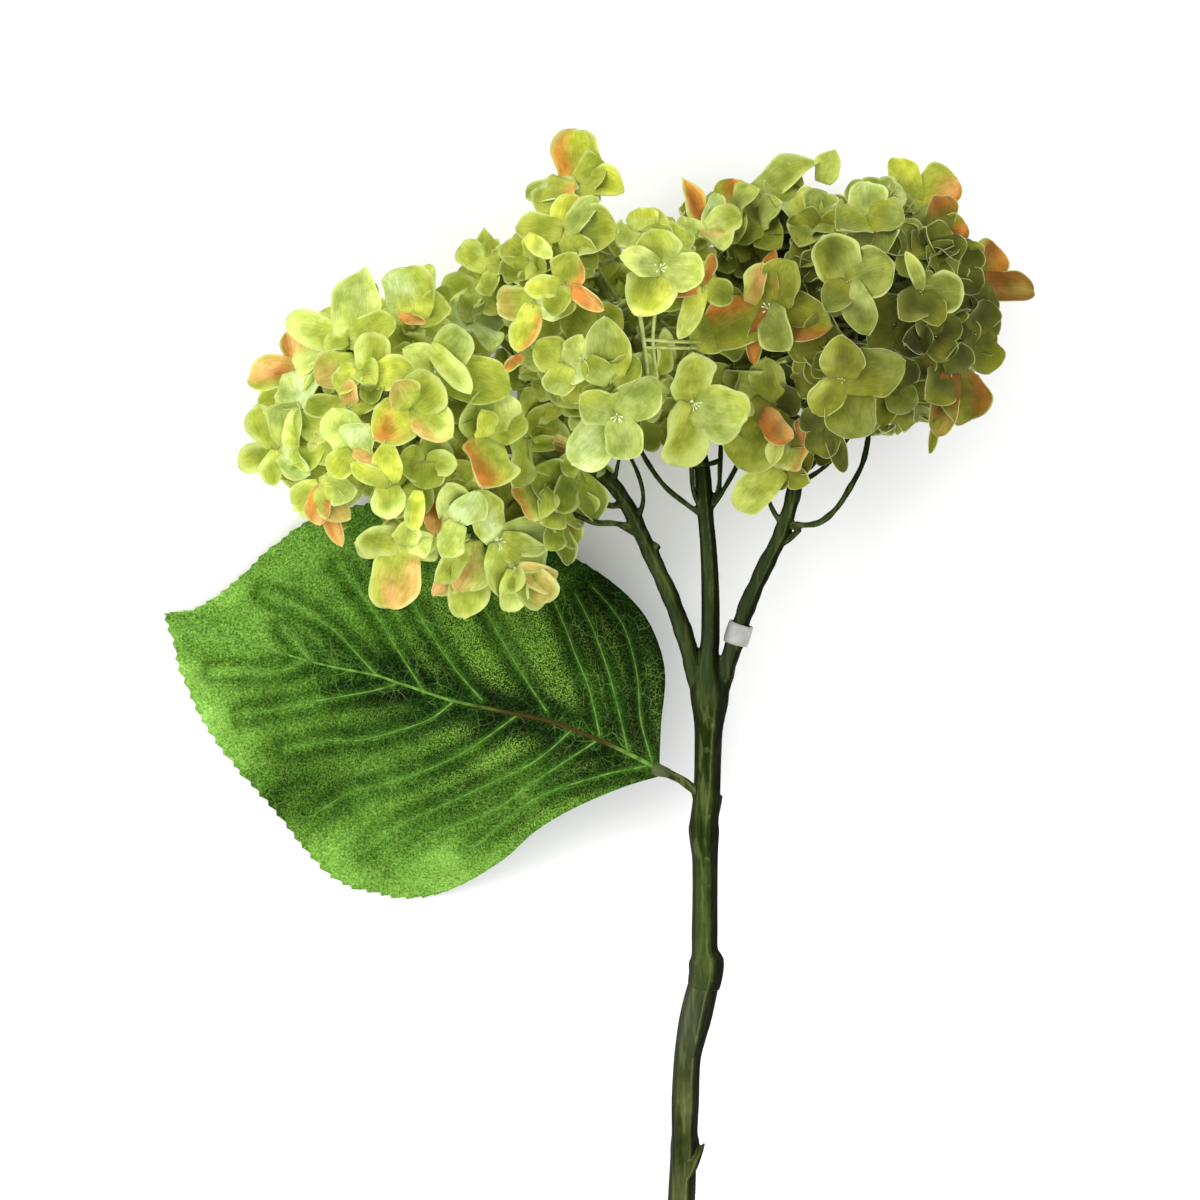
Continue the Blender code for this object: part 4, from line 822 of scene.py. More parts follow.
class Head:
    """A placed floret: middle, facing and its sepals."""

    def __init__(self, cluster, at, n, petals, hidden, u=0.0, v=0.0):
        self.cluster, self.at, self.n, self.u, self.v = cluster, at, n, u, v
        self.petals, self.hidden = petals, hidden


def tip_height(c, n, tip, rise):
    d = tip[:2] - c[:2]
    z = c[2] + (2.0 - n[0] * d[0] - n[1] * d[1]) / max(n[2], 0.35) if n[2] > 0 else c[2]
    return float(np.clip(z, c[2] - 6.5, c[2] + 6.0)) + rise


heads = []
for cluster, u, v, lift, rows in FLORETS:
    c, n = shell(cluster, u, v, lift)
    at = P(u, v, c[2])
    petals = []
    for row in rows:
        tu, tv, width, colour_keys = row[:4]
        rim = row[4] if len(row) > 4 else 0.6
        rise = row[5] if len(row) > 5 else 0.0
        tip = np.array([tu, tv, 0.0])
        w = tip_height(np.array([u, v, c[2]]), n, tip, rise)
        tip = P(tu, tv, w)
        foot = at
        if len(row) > 6:
            foot = P(row[6][0], row[6][1], c[2] + 0.5 * rise)
        petals.append((foot, tip, width, colour_keys, rim))
    heads.append(Head(cluster, at, n, petals, False, u, v))

rng = np.random.default_rng(20)
for cluster, (count, v_low) in UNDER.items():
    c0, (a, b, h) = SHELLS[cluster]
    placed, k = 0, 0
    while placed < count and k < 400:
        radius = math.sqrt((k + 0.5) / (count + 5.0))
        angle = k * 2.399963 + (0.4 if cluster == "left" else 1.1)
        k += 1
        if radius > 1.06:
            continue
        u, v = c0[0] + 0.84 * a * radius * math.cos(angle), c0[1] + 0.84 * b * radius * math.sin(angle)
        if v < v_low or (cluster == "left" and u < -98 and v < 208):
            continue
        if cluster == "centre" and v > 266 and -34 < u < 0:
            continue
        if cluster == "right" and u > 40 and v < 222:
            continue
        p, n = shell(cluster, u, v, 0.0, under=True)
        placed += 1
        side = unit(np.cross(n, [0.3, 1.0, 0.1]))
        other = np.cross(n, side)
        twist = rng.uniform(0, 1.57)
        petals = []
        colour_keys = {"left": ["oo", "lo", "op", "od"], "centre": ["oo", "do", "lo", "od"],
                "right": ["dd", "do", "dk", "oo"]}[cluster]
        for q in range(4):
            ang = twist + q * math.pi / 2 + rng.uniform(-0.12, 0.12)
            reach = rng.uniform(11.0, 13.0)
            tip = p + (side * math.cos(ang) + other * math.sin(ang)) * reach + n * rng.uniform(0.0, 3.0)
            if tip[2] < 1.2:
                tip[2] = 1.2
            petals.append((p, tip, rng.uniform(9.5, 11.5), colour_keys[(q + k) % 4], 0.6))
        heads.append(Head(cluster, p, n, petals, True))

# rings of florets round the sides of each cluster
seen = np.array([[hd.u, hd.v] for hd in heads if not hd.hidden])
for cluster, (c0, (a, b, h)) in SHELLS.items():
    for level, turn, squeeze in ((-19.0, 0.0, 0.80), (-2.0, 0.5, 0.82), (15.0, 0.2, 0.78), (24.0, 0.7, 0.68)):
        k = math.sqrt(1 - (level / h) ** 2) * squeeze
        for i in range(13):
            ang = 2 * math.pi * (i + turn) / 13 + rng.uniform(-0.10, 0.10)
            u, v = c0[0] + a * k * math.cos(ang), c0[1] + b * k * math.sin(ang)
            if np.min(np.hypot(seen[:, 0] - u, seen[:, 1] - v)) > 10.5:
                continue
            if any(other != cluster and ((u - s[0][0]) / s[1][0]) ** 2 + ((v - s[0][1]) / s[1][1]) ** 2 < 0.62
                   for other, s in SHELLS.items()):
                continue
            if cluster == "centre" and v > 266 and -34 < u < 0:
                continue
            if cluster == "left" and u < -88 and v < 196:
                continue
            p = np.array([u, v, c0[2] + level + rng.uniform(-3, 3)])
            n = unit([math.cos(ang), math.sin(ang), 1.5 if level > 20 else 0.15 + level / 45.0])
            side = unit(np.cross(n, [0.1, 0.2, 1.0]))
            other = np.cross(n, side)
            twist = rng.uniform(0, 1.57)
            colour_keys = {"left": ["oo", "lo", "op", "ol"], "centre": ["oo", "lo", "ol", "og"],
                    "right": ["do", "dd", "og", "ol"]}[cluster]
            petals = []
            for q in range(4):
                t = twist + q * math.pi / 2 + rng.uniform(-0.12, 0.12)
                tip = p + (side * math.cos(t) + other * math.sin(t)) * rng.uniform(10.0, 12.0) \
                    + n * rng.uniform(-1.5, 1.5)
                petals.append((p, tip, rng.uniform(9.5, 11.5), colour_keys[(q + i) % 4], 0.6))
            heads.append(Head(cluster, p, n, petals, True))

# which CAD sprig each floret belongs to: nearest one with room
sprigs = sorted(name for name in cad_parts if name.startswith("floret_pair_"))
cad_points = {}
for name in sprigs:
    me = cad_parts[name].data
    co = np.empty(len(me.vertices) * 3)
    me.vertices.foreach_get("co", co)
    mw = np.array(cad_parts[name].matrix_world)
    cad_points[name] = (co.reshape(-1, 3) @ mw[:3, :3].T + mw[:3, 3]) * 1000.0 + OFF
costs = []
for i, hd in enumerate(heads):
    for name in sprigs:
        if hd.cluster in name:
            dd = np.sort(np.linalg.norm(cad_points[name] - hd.at, axis=1))[:6].mean()
            costs.append((dd, i, name))
costs.sort()
room = {name: [] for name in sprigs}
given = {}
for limit in (2, 3, 4, 9):
    for dd, i, name in costs:
        if i in given or len(room[name]) >= limit:
            continue
        if limit > 2 and dd > 60:
            continue
        room[name].append(i)
        given[i] = name
for name in sprigs:
    if not room[name]:
        # a sprig with nobody takes its nearest floret from a sprig that has more than one
        dd, i, _ = min((c for c in costs if c[2] == name and len(room[given[c[1]]]) > 1),
                       key=lambda c: c[0])
        room[given[i]].remove(i)
        room[name].append(i)
        given[i] = name

rails = {c: spline([P(*p) for p in pts], 60) for c, pts in RAILS.items()}
rng = np.random.default_rng(7)
floret_objects = []
for name in sprigs:
    mesh = Mesh()
    members = [heads[i] for i in room[name]]
    cluster = members[0].cluster
    rail = rails[cluster]
    mid = sum(hd.at for hd in members) / len(members)
    out = unit(sum(hd.n for hd in members))
    fork = mid - out * 13.0
    root = rail[np.argmin(np.linalg.norm(rail - fork, axis=1))]
    stalk = spline([fork, (fork + root) / 2 + np.array([0, 0, 0.6]), root], 9)
    rod(mesh, stalk, np.linspace(0.70, 0.9, 9), 1, 7)
    for hd in members:
        for k, (foot, tip, width, colour_keys, rim) in enumerate(hd.petals):
            if not hd.hidden:
                foot, tip = foot + hd.n * 0.4 * k, tip + hd.n * 0.4 * k
            # hidden florets painted lighter in the left and centre clusters to lift the shade between the florets,
            # darker in the right
            if hd.hidden:
                petal(mesh, foot, tip, hd.n, width, colour_keys, rim, rng, hd.cluster,
                      0.95 if hd.cluster == "right" else 1.08)
            else:
                petal(mesh, foot, tip, unit(hd.n + np.array([0, 0, 0.9])), width * (1.09 if hd.cluster == "right" else 1.13), colour_keys, rim,
                      rng, hd.cluster)
        back = hd.at - hd.n * 0.4
        path = spline([back, back - hd.n * 3.5, back - hd.n * 7.5 + (fork - back) * 0.15, fork], 12)
        radii = 0.55 + 0.05 * np.sin(np.linspace(0, 9, 12))
        radii[0], radii[1] = 1.5, 0.95
        rod(mesh, path, radii, 1, 7)
        # the tuft at the eye
        side = unit(np.cross(hd.n, [0.2, 1.0, 0.1]))
        other = np.cross(hd.n, side)
        bold = any(abs(hd.u - a) < 1 and abs(hd.v - b) < 1 for a, b in TUFTED)
        knob = np.array([hd.at + hd.n * z for z in (-0.2, 0.4, 0.8)])
        rod(mesh, knob, [0.9, 0.95, 0.4] if bold else [0.65, 0.7, 0.3], 2 if bold else 3, 8)
        for q in range(6 if bold else 4):
            ang = q * 1.047 * (1.0 if bold else 1.5) + rng.uniform(-0.3, 0.3)
            lean = rng.uniform(0.25, 0.95)
            reach = rng.uniform(2.4, 3.8) if bold else rng.uniform(1.2, 2.0)
            tipd = unit(hd.n + (side * math.cos(ang) + other * math.sin(ang)) * lean)
            rod(mesh, np.array([hd.at + hd.n * 0.3, hd.at + tipd * reach * 0.6 + hd.n * 0.3,
                                hd.at + tipd * reach]), [0.22, 0.17, 0.23] if bold else [0.18, 0.14, 0.18],
                2 if bold else 1, 5)
    obj = mesh.make("sprig_" + name[len("floret_pair_"):], [PETAL, PEDICEL, STAMEN, ANTHER])
    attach(obj, "root")
    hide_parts(name)
    floret_objects.append(obj)


# -------------------------------------------------------------------- the leaf
RIBS = [
    ((-11.3, 120.3), (-11.3, 122.6), (-11.4, 118.6)),
    ((-14.0, 121.5), (-10.9, 133.0), (-21.5, 115.6)),
    ((-19.0, 123.6), (-9.8, 148.0), (-35.5, 109.6)),
    ((-26.0, 127.0), (-13.6, 160.5), (-46.0, 103.3)),
    ((-34.0, 130.6), (-20.5, 169.5), (-55.5, 95.0)),
    ((-43.0, 133.6), (-31.0, 177.4), (-69.0, 87.2)),
    ((-53.0, 136.0), (-44.5, 184.5), (-80.5, 84.5)),
    ((-63.0, 138.4), (-60.0, 190.6), (-91.5, 86.1)),
    ((-73.0, 141.2), (-76.0, 194.4), (-101.6, 89.4)),
    ((-83.0, 144.2), (-92.0, 195.0), (-110.0, 97.4)),
    ((-94.0, 147.4), (-106.5, 191.8), (-120.0, 110.0)),
    ((-105.0, 150.6), (-119.0, 183.6), (-130.4, 121.5)),
    ((-117.0, 154.2), (-131.0, 172.6), (-139.6, 134.6)),
    ((-130.0, 158.2), (-140.5, 166.0), (-145.4, 147.8)),
    ((-141.0, 161.6), (-146.4, 164.8), (-147.8, 157.0)),
    ((-150.0, 164.0), (-150.3, 164.3), (-150.2, 163.8)),
]
MIDRIB = [(-11, 120.4), (-22, 126), (-31, 130), (-42, 134), (-56, 137), (-70, 140), (-79, 143),
          (-85, 145), (-91, 147), (-106, 150), (-123, 155), (-133, 158), (-147, 162.8)]
VEINS = [
    [(-61, 140), (-68, 148), (-75, 158), (-81, 168), (-88, 180)],
    [(-43, 137), (-49, 146), (-55, 156), (-60, 165), (-66, 176)],
    [(-28, 130), (-31, 143), (-35, 153), (-38, 161), (-42, 170), (-47, 179)],
    [(-13, 121.5), (-16.5, 134), (-17.6, 147), (-20.7, 159), (-25, 166), (-30.5, 172)],
    [(-20, 125), (-23, 138), (-26, 149), (-30, 160), (-35, 170)],
    [(-91, 147.5), (-97, 154), (-103, 160), (-113, 166), (-122, 170)],
    [(-109, 151), (-113, 156), (-117, 160)],
    [(-77, 142), (-84, 153), (-92, 166), (-101, 178)],
    [(-85, 144.5), (-92, 142.5), (-106, 140), (-118, 137.5), (-128, 136)],
    [(-69, 139.5), (-77, 134), (-94, 129), (-105, 128.5), (-116, 126)],
    [(-51.5, 135.5), (-64, 126.6), (-74, 121.5), (-86, 117), (-98, 114), (-108, 108)],
    [(-36, 131.5), (-46, 123), (-60, 116), (-73, 110), (-86, 104), (-95, 97)],
    [(-29, 128.5), (-46.5, 117), (-58, 109), (-73, 103), (-84, 95)],
    [(-15, 121.5), (-27, 119), (-44, 113.4), (-55, 105.6), (-64, 98)],
    [(-109, 151.5), (-118, 148), (-127, 148), (-136, 148)],
]


def seg_dist(points, line):
    best = np.full(len(points), 1e9)
    line = np.asarray(line, float)
    for a, b in zip(line[:-1], line[1:]):
        ab = b - a
        t = np.clip(((points - a) @ ab) / (ab @ ab), 0, 1)
        best = np.minimum(best, np.linalg.norm(points - (a + t[:, None] * ab), axis=1))
    return best


vein_lines = [spline(v, 24) for v in VEINS]
mid_line = spline(MIDRIB, 60)


def side_of_midrib(points):
    """Signed distance from the midrib: above it positive."""
    d = seg_dist(points, mid_line)
    line_v = np.interp(-points[:, 0], -mid_line[:, 0], mid_line[:, 1])
    return np.where(points[:, 1] >= line_v, d, -d)


def leaf_height(points):
    """Height of the blade's middle surface at (u, v)."""
    u, v = points[:, 0], points[:, 1]
    away = side_of_midrib(points)
    s = np.clip((-11.0 - u) / 139.0, 0, 1)
    ridge = 28.6 * (1 - s) ** 1.4 + 2.0
    belly = 6.0 * np.sin(math.pi * np.minimum(1.0, s * 1.15)) ** 2
    fall = np.where(away < 0, 0.0062, 0.0038) * away * away
    base = np.maximum(ridge + belly - fall, 0.9)
    dv = np.min([seg_dist(points, line) for line in vein_lines], axis=0)
    dm = np.abs(away)
    reach = smooth(0.5, 8.0, dm)
    pleat = -1.5 * np.exp(-(dv / 2.2) ** 2) * reach - 1.1 * np.exp(-(dm / 2.4) ** 2)
    puff = 0.9 * np.exp(-((dv - 6.0) / 3.0) ** 2) * reach
    wave = 0.7 * np.sin(u * 0.21 + v * 0.13) * smooth(6.0, 40.0, dm)
    room = smooth(0.9, 5.0, base)
    return np.maximum(base + (pleat + puff + wave) * (0.35 + 0.65 * room) + 0.5, 0.75), dv, dm


ROWS, HALF = 210, 46
ribs = np.array([[*m, *t, *l] for m, t, l in RIBS])
rows = spline(np.hstack([ribs, np.zeros((len(ribs), 0))]), ROWS)
mid_r, top_r, low_r = rows[:, 0:2], rows[:, 2:4], rows[:, 4:6]


def saw(length, pitch):
    k = length / pitch
    return (k - np.floor(k)) ** 1.3


def toothed(edge, middle, amount):
    step = np.linalg.norm(np.diff(edge, axis=0), axis=1)
    length = np.concatenate([[0], np.cumsum(step)])
    out = edge - middle
    out /= np.maximum(np.linalg.norm(out, axis=1), 1e-6)[:, None]
    # teeth fade out near the stalk
    fade = smooth(0.10, 0.35, np.linspace(0, 1, len(edge)))
    jitter = 0.25 * np.sin(length * 1.1) + 0.2 * np.sin(length * 0.43 + 1)
    return edge + out * ((saw(length + jitter, 3.8) - 0.5) * amount * fade)[:, None]


top_r = toothed(top_r, mid_r, 0.75)
low_r = toothed(low_r, mid_r, 1.25)
ks = np.linspace(-1, 1, 2 * HALF + 1)
flat = []
for i in range(ROWS):
    for k in ks:
        e = top_r[i] if k >= 0 else low_r[i]
        flat.append(mid_r[i] + (e - mid_r[i]) * abs(k))
flat = np.array(flat)
w, dv, dm = leaf_height(flat)
away = side_of_midrib(flat)
W2 = 2 * HALF + 1
kk = np.tile(ks, ROWS)
margin = np.repeat(np.linspace(0, 1, ROWS), W2)

# brightness of the leaf's print with painted shade on it: painted crease shade by the midrib and pleat shade between
# the ribs, bright towards the tip and the lower margin, almost black at the upper right under the painted shadow of
# the head
u, v = flat[:, 0], flat[:, 1]
shade = 0.40 + 0.0 * u
shade += 0.17 * smooth(20.0, 48.0, -away) * smooth(-130, -60, -np.abs(u + 75) - 55)
shade += 0.25 * smooth(-95.0, -140.0, u)
shade += 0.12 * smooth(0.62, 1.0, np.abs(kk)) * np.where(away < 0, 1.0, smooth(-40.0, -70.0, u))
shade += 0.10 * np.exp(-((u + 100) ** 2 + (v - 168) ** 2) / 260.0)
# painted shadow over the upper right, under the flower head
shade -= 0.38 * smooth(-62.0, -14.0, u) * smooth(130.0, 168.0, v)
shade -= 0.30 * smooth(-26.0, -12.0, u) * smooth(118.0, 150.0, v)
# painted crease shade beside the midrib, then painted pleat shade beside the ribs
shade -= 0.24 * np.exp(-(np.abs(dm - 5) / 5.5) ** 2) * smooth(-118.0, -80.0, u)
shade -= 0.14 * np.exp(-(np.abs(dv - 2.6) / 1.8) ** 2) * smooth(60.0, 15.0, dm)
shade += 0.05 * np.exp(-(np.abs(dv - 0.8) / 1.3) ** 2) * smooth(60.0, 15.0, dm)
shade -= 0.42 * np.exp(-((u + 121) / 14.0) ** 2 - ((v - 111) / 12.0) ** 2)
shade += 0.10 * np.exp(-((u + 138) / 8.0) ** 2 - ((v - 132) / 8.0) ** 2)
shade += 0.06 * np.sin(u * 0.17 + 1.0) * np.sin(v * 0.15)
shade = np.clip(shade, 0.04, 0.86)
# painted light on the crests of the swollen strips: less by the upper margin and at the upper right, some by the
# midrib near the stalk
lit = np.exp(-((dv - 6.5) / 3.6) ** 2) * smooth(3.0, 9.0, dm) * (0.35 + 0.65 * smooth(-95.0, -55.0, u))
lit *= 1 - 0.9 * smooth(0.72, 0.95, np.abs(kk)) * smooth(-70.0, -50.0, u)
lit *= 1 - 0.45 * smooth(-42.0, -22.0, u)
lit += 0.20 * np.exp(-(dm / 6.0) ** 2) * smooth(-30.0, -16.0, u)
warm = np.exp(-(dm / 0.7) ** 2) * smooth(-72.0, -48.0, u) * smooth(-17.0, -28.0, u) * 0.9

leaf = Mesh()
pts3 = np.array([P(a, b, c) for a, b, c in zip(u, v, w)])
up3 = pts3 + np.array([0, 0, 0.26])
dn3 = pts3 - np.array([0, 0, 0.26])
n_top = len(pts3)
faces = []
for i in range(ROWS - 1):
    for j in range(W2 - 1):
        a, b = i * W2 + j, (i + 1) * W2 + j
        faces.append((a, a + 1, b + 1, b))
faces += [tuple(n_top + k for k in reversed(f)) for f in faces]
for i in range(ROWS - 1):
    a, b = i * W2, (i + 1) * W2
    faces.append((a, b, n_top + b, n_top + a))
    a, b = a + W2 - 1, b + W2 - 1
    faces.append((a, n_top + a, n_top + b, b))
for j in range(W2 - 1):
    faces.append((j, n_top + j, n_top + j + 1, j + 1))
    a = (ROWS - 1) * W2 + j
    faces.append((a, a + 1, n_top + a + 1, n_top + a))
leaf.add(np.vstack([up3, dn3]), faces, 0)
shades, warms, veins_ = [np.concatenate([shade, shade * 0.9 + 0.08])], \
    [np.concatenate([warm, warm])], [np.concatenate([dv, dv])]
lits = [np.concatenate([lit, lit * 0.5])]


def leaf_cord(line, r0, r1, warm_from=None, sink=0.10, rise=0.10):
    """A rib of the blade, laid along its surface."""
    line = np.asarray(line)
    z, _, _ = leaf_height(line)
    depth = np.linspace(sink, rise, len(line))
    path = np.array([P(a, b, c + 0.26 - e) for (a, b), c, e in zip(line, z, depth)])
    radii = np.linspace(r0, r1, len(path))
    vv, ff = tube_arrays(path, radii, 8, flat=0.75)
    leaf.add(vv, ff, 1)
    n = len(vv)
    uu = np.concatenate([np.repeat(line[:, 0], 8), line[[0, -1], 0]])
    wm = smooth(-72.0, -52.0, uu) * smooth(-17.0, -28.0, uu) * 0.95 if warm_from else np.zeros(n)
    shades.append(np.full(n, 0.6))
    warms.append(wm)
    veins_.append(np.zeros(n))
    lits.append(np.zeros(n))


leaf_cord(spline(MIDRIB, 90), 0.80, 0.20, True, 0.30, 0.04)
for k, line in enumerate(VEINS):
    fine = spline(line, 46)
    leaf_cord(fine, 0.27, 0.12, None, 0.03, 0.02)
# short cross veins between the ribs: the list of places is empty, so none are drawn
rng = np.random.default_rng(3)
for k, line in enumerate(vein_lines):
    for f in ():
        i = int(f * (len(line) - 1))
        d = unit(line[min(i + 1, len(line) - 1)] - line[max(i - 1, 0)])
        side = np.array([-d[1], d[0]]) * rng.choice([-1.0, 1.0])
        lead = rng.uniform(0.2, 0.9)
        reach = rng.uniform(2.5, 4.5)
        p0 = line[i]
        p1 = p0 + (side + d * lead) * reach * 0.5
        p2 = p0 + (side + d * lead * 0.8) * reach
        if p2[0] > -18 or p0[0] > -22:
            continue
        leaf_cord(spline([p0, p1 + side * rng.uniform(-0.2, 0.2), p2], 10), 0.16, 0.05, None, 0.06)
leaf.extra = {"shade": np.concatenate(shades), "warm": np.concatenate(warms),
              "vein": np.concatenate(veins_), "lit": np.concatenate(lits)}
leaf_obj = leaf.make("leaf_blade", [LEAF, VEIN])
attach(leaf_obj, "root")
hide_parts("leaf")


# -------------------------------------------------------------------- the stem
def axis_w(v):
    return 4.0 + 0.140 * (v + 100.0)


def stem_path(rows, step=1.2):
    """(v, u, radius) rows to a fine path and radii."""
    pts = []
    for v, u, r in rows:
        w = axis_w(v)
        k = smooth(-100.0, 0.0, v)
        p = P(u, v, w) * k + np.array([u, v, w]) * (1 - k)
        pts.append([*p, r])
    pts = np.array(pts)
    count = int(np.linalg.norm(np.diff(pts[:, :3], axis=0), axis=1).sum() / step) + 2
    fine = spline(pts, count)
    return fine[:, :3], fine[:, 3]


def ribbed(rows, step=1.2, ridge=0.045, count=6, sides=36, phase=0.0):
    path, radii = stem_path(rows, step)
    return tube_arrays(path, radii, sides, ridge, count, phase)


LOWER = [(-100.0, -9.0, 3.9), (-92, -8.8, 3.9), (-80, -8.6, 3.8), (-58, -8.0, 3.7), (-51, -7.8, 4.0),
         (-47.5, -7.6, 4.9), (-45, -7.5, 5.0), (-43, -7.4, 4.0), (-36, -7.0, 3.7), (-18, -6.2, 3.6),
         (0, -5.2, 3.8), (10, -4.7, 3.7), (13.5, -4.3, 4.0), (16.8, -4.2, 3.9), (19, -4.3, 3.6),
         (28, -4.1, 3.8), (39, -3.6, 3.7), (46, -2.4, 4.1), (50.4, -1.4, 4.4), (56, -0.1, 4.4),
         (60.4, 1.0, 4.2)]
UPPER_STEM = [(59.2, 1.1, 4.3), (60.8, 1.2, 4.6), (63, 1.6, 4.7), (65.8, 1.8, 4.9), (67.6, 1.8, 4.7),
              (69, 1.5, 3.9), (71, 1.3, 3.6), (76, 1.3, 3.6), (85, 1.4, 3.5), (95, 1.4, 3.6),
              (100, 1.2, 4.0), (103.6, 1.1, 4.3), (106, 1.2, 4.0), (111, 1.7, 3.8), (116, 2.0, 3.7),
              (124, 2.2, 3.7), (131.6, 2.4, 3.9), (136, 2.6, 4.5), (140, 2.7, 5.2), (144, 2.6, 5.3),
              (148, 2.4, 4.0), (152, 2.4, 2.9), (158, 2.9, 2.6), (170, 2.9, 2.5), (182, 2.4, 2.3),
              (190, 1.7, 2.2), (196, 1.2, 2.4), (205, 0.6, 2.2), (213, -1.0, 1.9)]

# a stub where an old leaf came away, as a short pointed scale on the stem
def scale_on(v, u, side, length, r, lift=0.0):
    w = axis_w(v)
    p0 = P(u, v - length * 0.5, w)
    p1 = P(u + side * 1.6, v, w + lift)
    p2 = P(u + side * 3.0, v + length * 0.55, w + lift)
    path = spline([p0, p1, p2], 8)
    return tube_arrays(path, np.linspace(r, 0.5, 8), 12)


lower = [ribbed(LOWER, phase=0.7, ridge=0.05),
         tube_arrays(spline([P(-4.6, 5.0, axis_w(5) + 2.2), P(-2.6, 9.0, axis_w(9) + 2.6),
                             P(-0.4, 13.0, axis_w(13) + 1.8), P(1.3, 16.0, axis_w(16) + 0.8)], 12),
                     [0.6, 1.1, 1.5, 1.7, 1.8, 1.75, 1.6, 1.4, 1.15, 0.9, 0.6, 0.3], 12),
         scale_on(-46, -5.6, -1.0, 7.0, 2.2)]
obj = solid_from(lower, "stem_low_segment", [STEM_LOW], 0.32)
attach(obj, "root")
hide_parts("stem_lower")


def arm(points, r0, r1, step=1.0, knob=0.0, phase=0.0, sides=14):
    """A twig through (u, v, w) points, knobbly if knob is set."""
    pts = np.array([P(*p) for p in points])
    count = int(np.linalg.norm(np.diff(pts, axis=0), axis=1).sum() / step) + 3
    path = spline(pts, count)
    t = np.linspace(0, 1, count)
    radii = r0 + (r1 - r0) * t
    run = np.linspace(0, np.linalg.norm(np.diff(path, axis=0), axis=1).sum(), count)
    radii = radii * (1 + knob * np.sin(run * 0.55 + phase) + 0.5 * knob * np.sin(run * 1.3 + 2 * phase))
    return tube_arrays(path, radii, sides, 0.03, 4, phase)


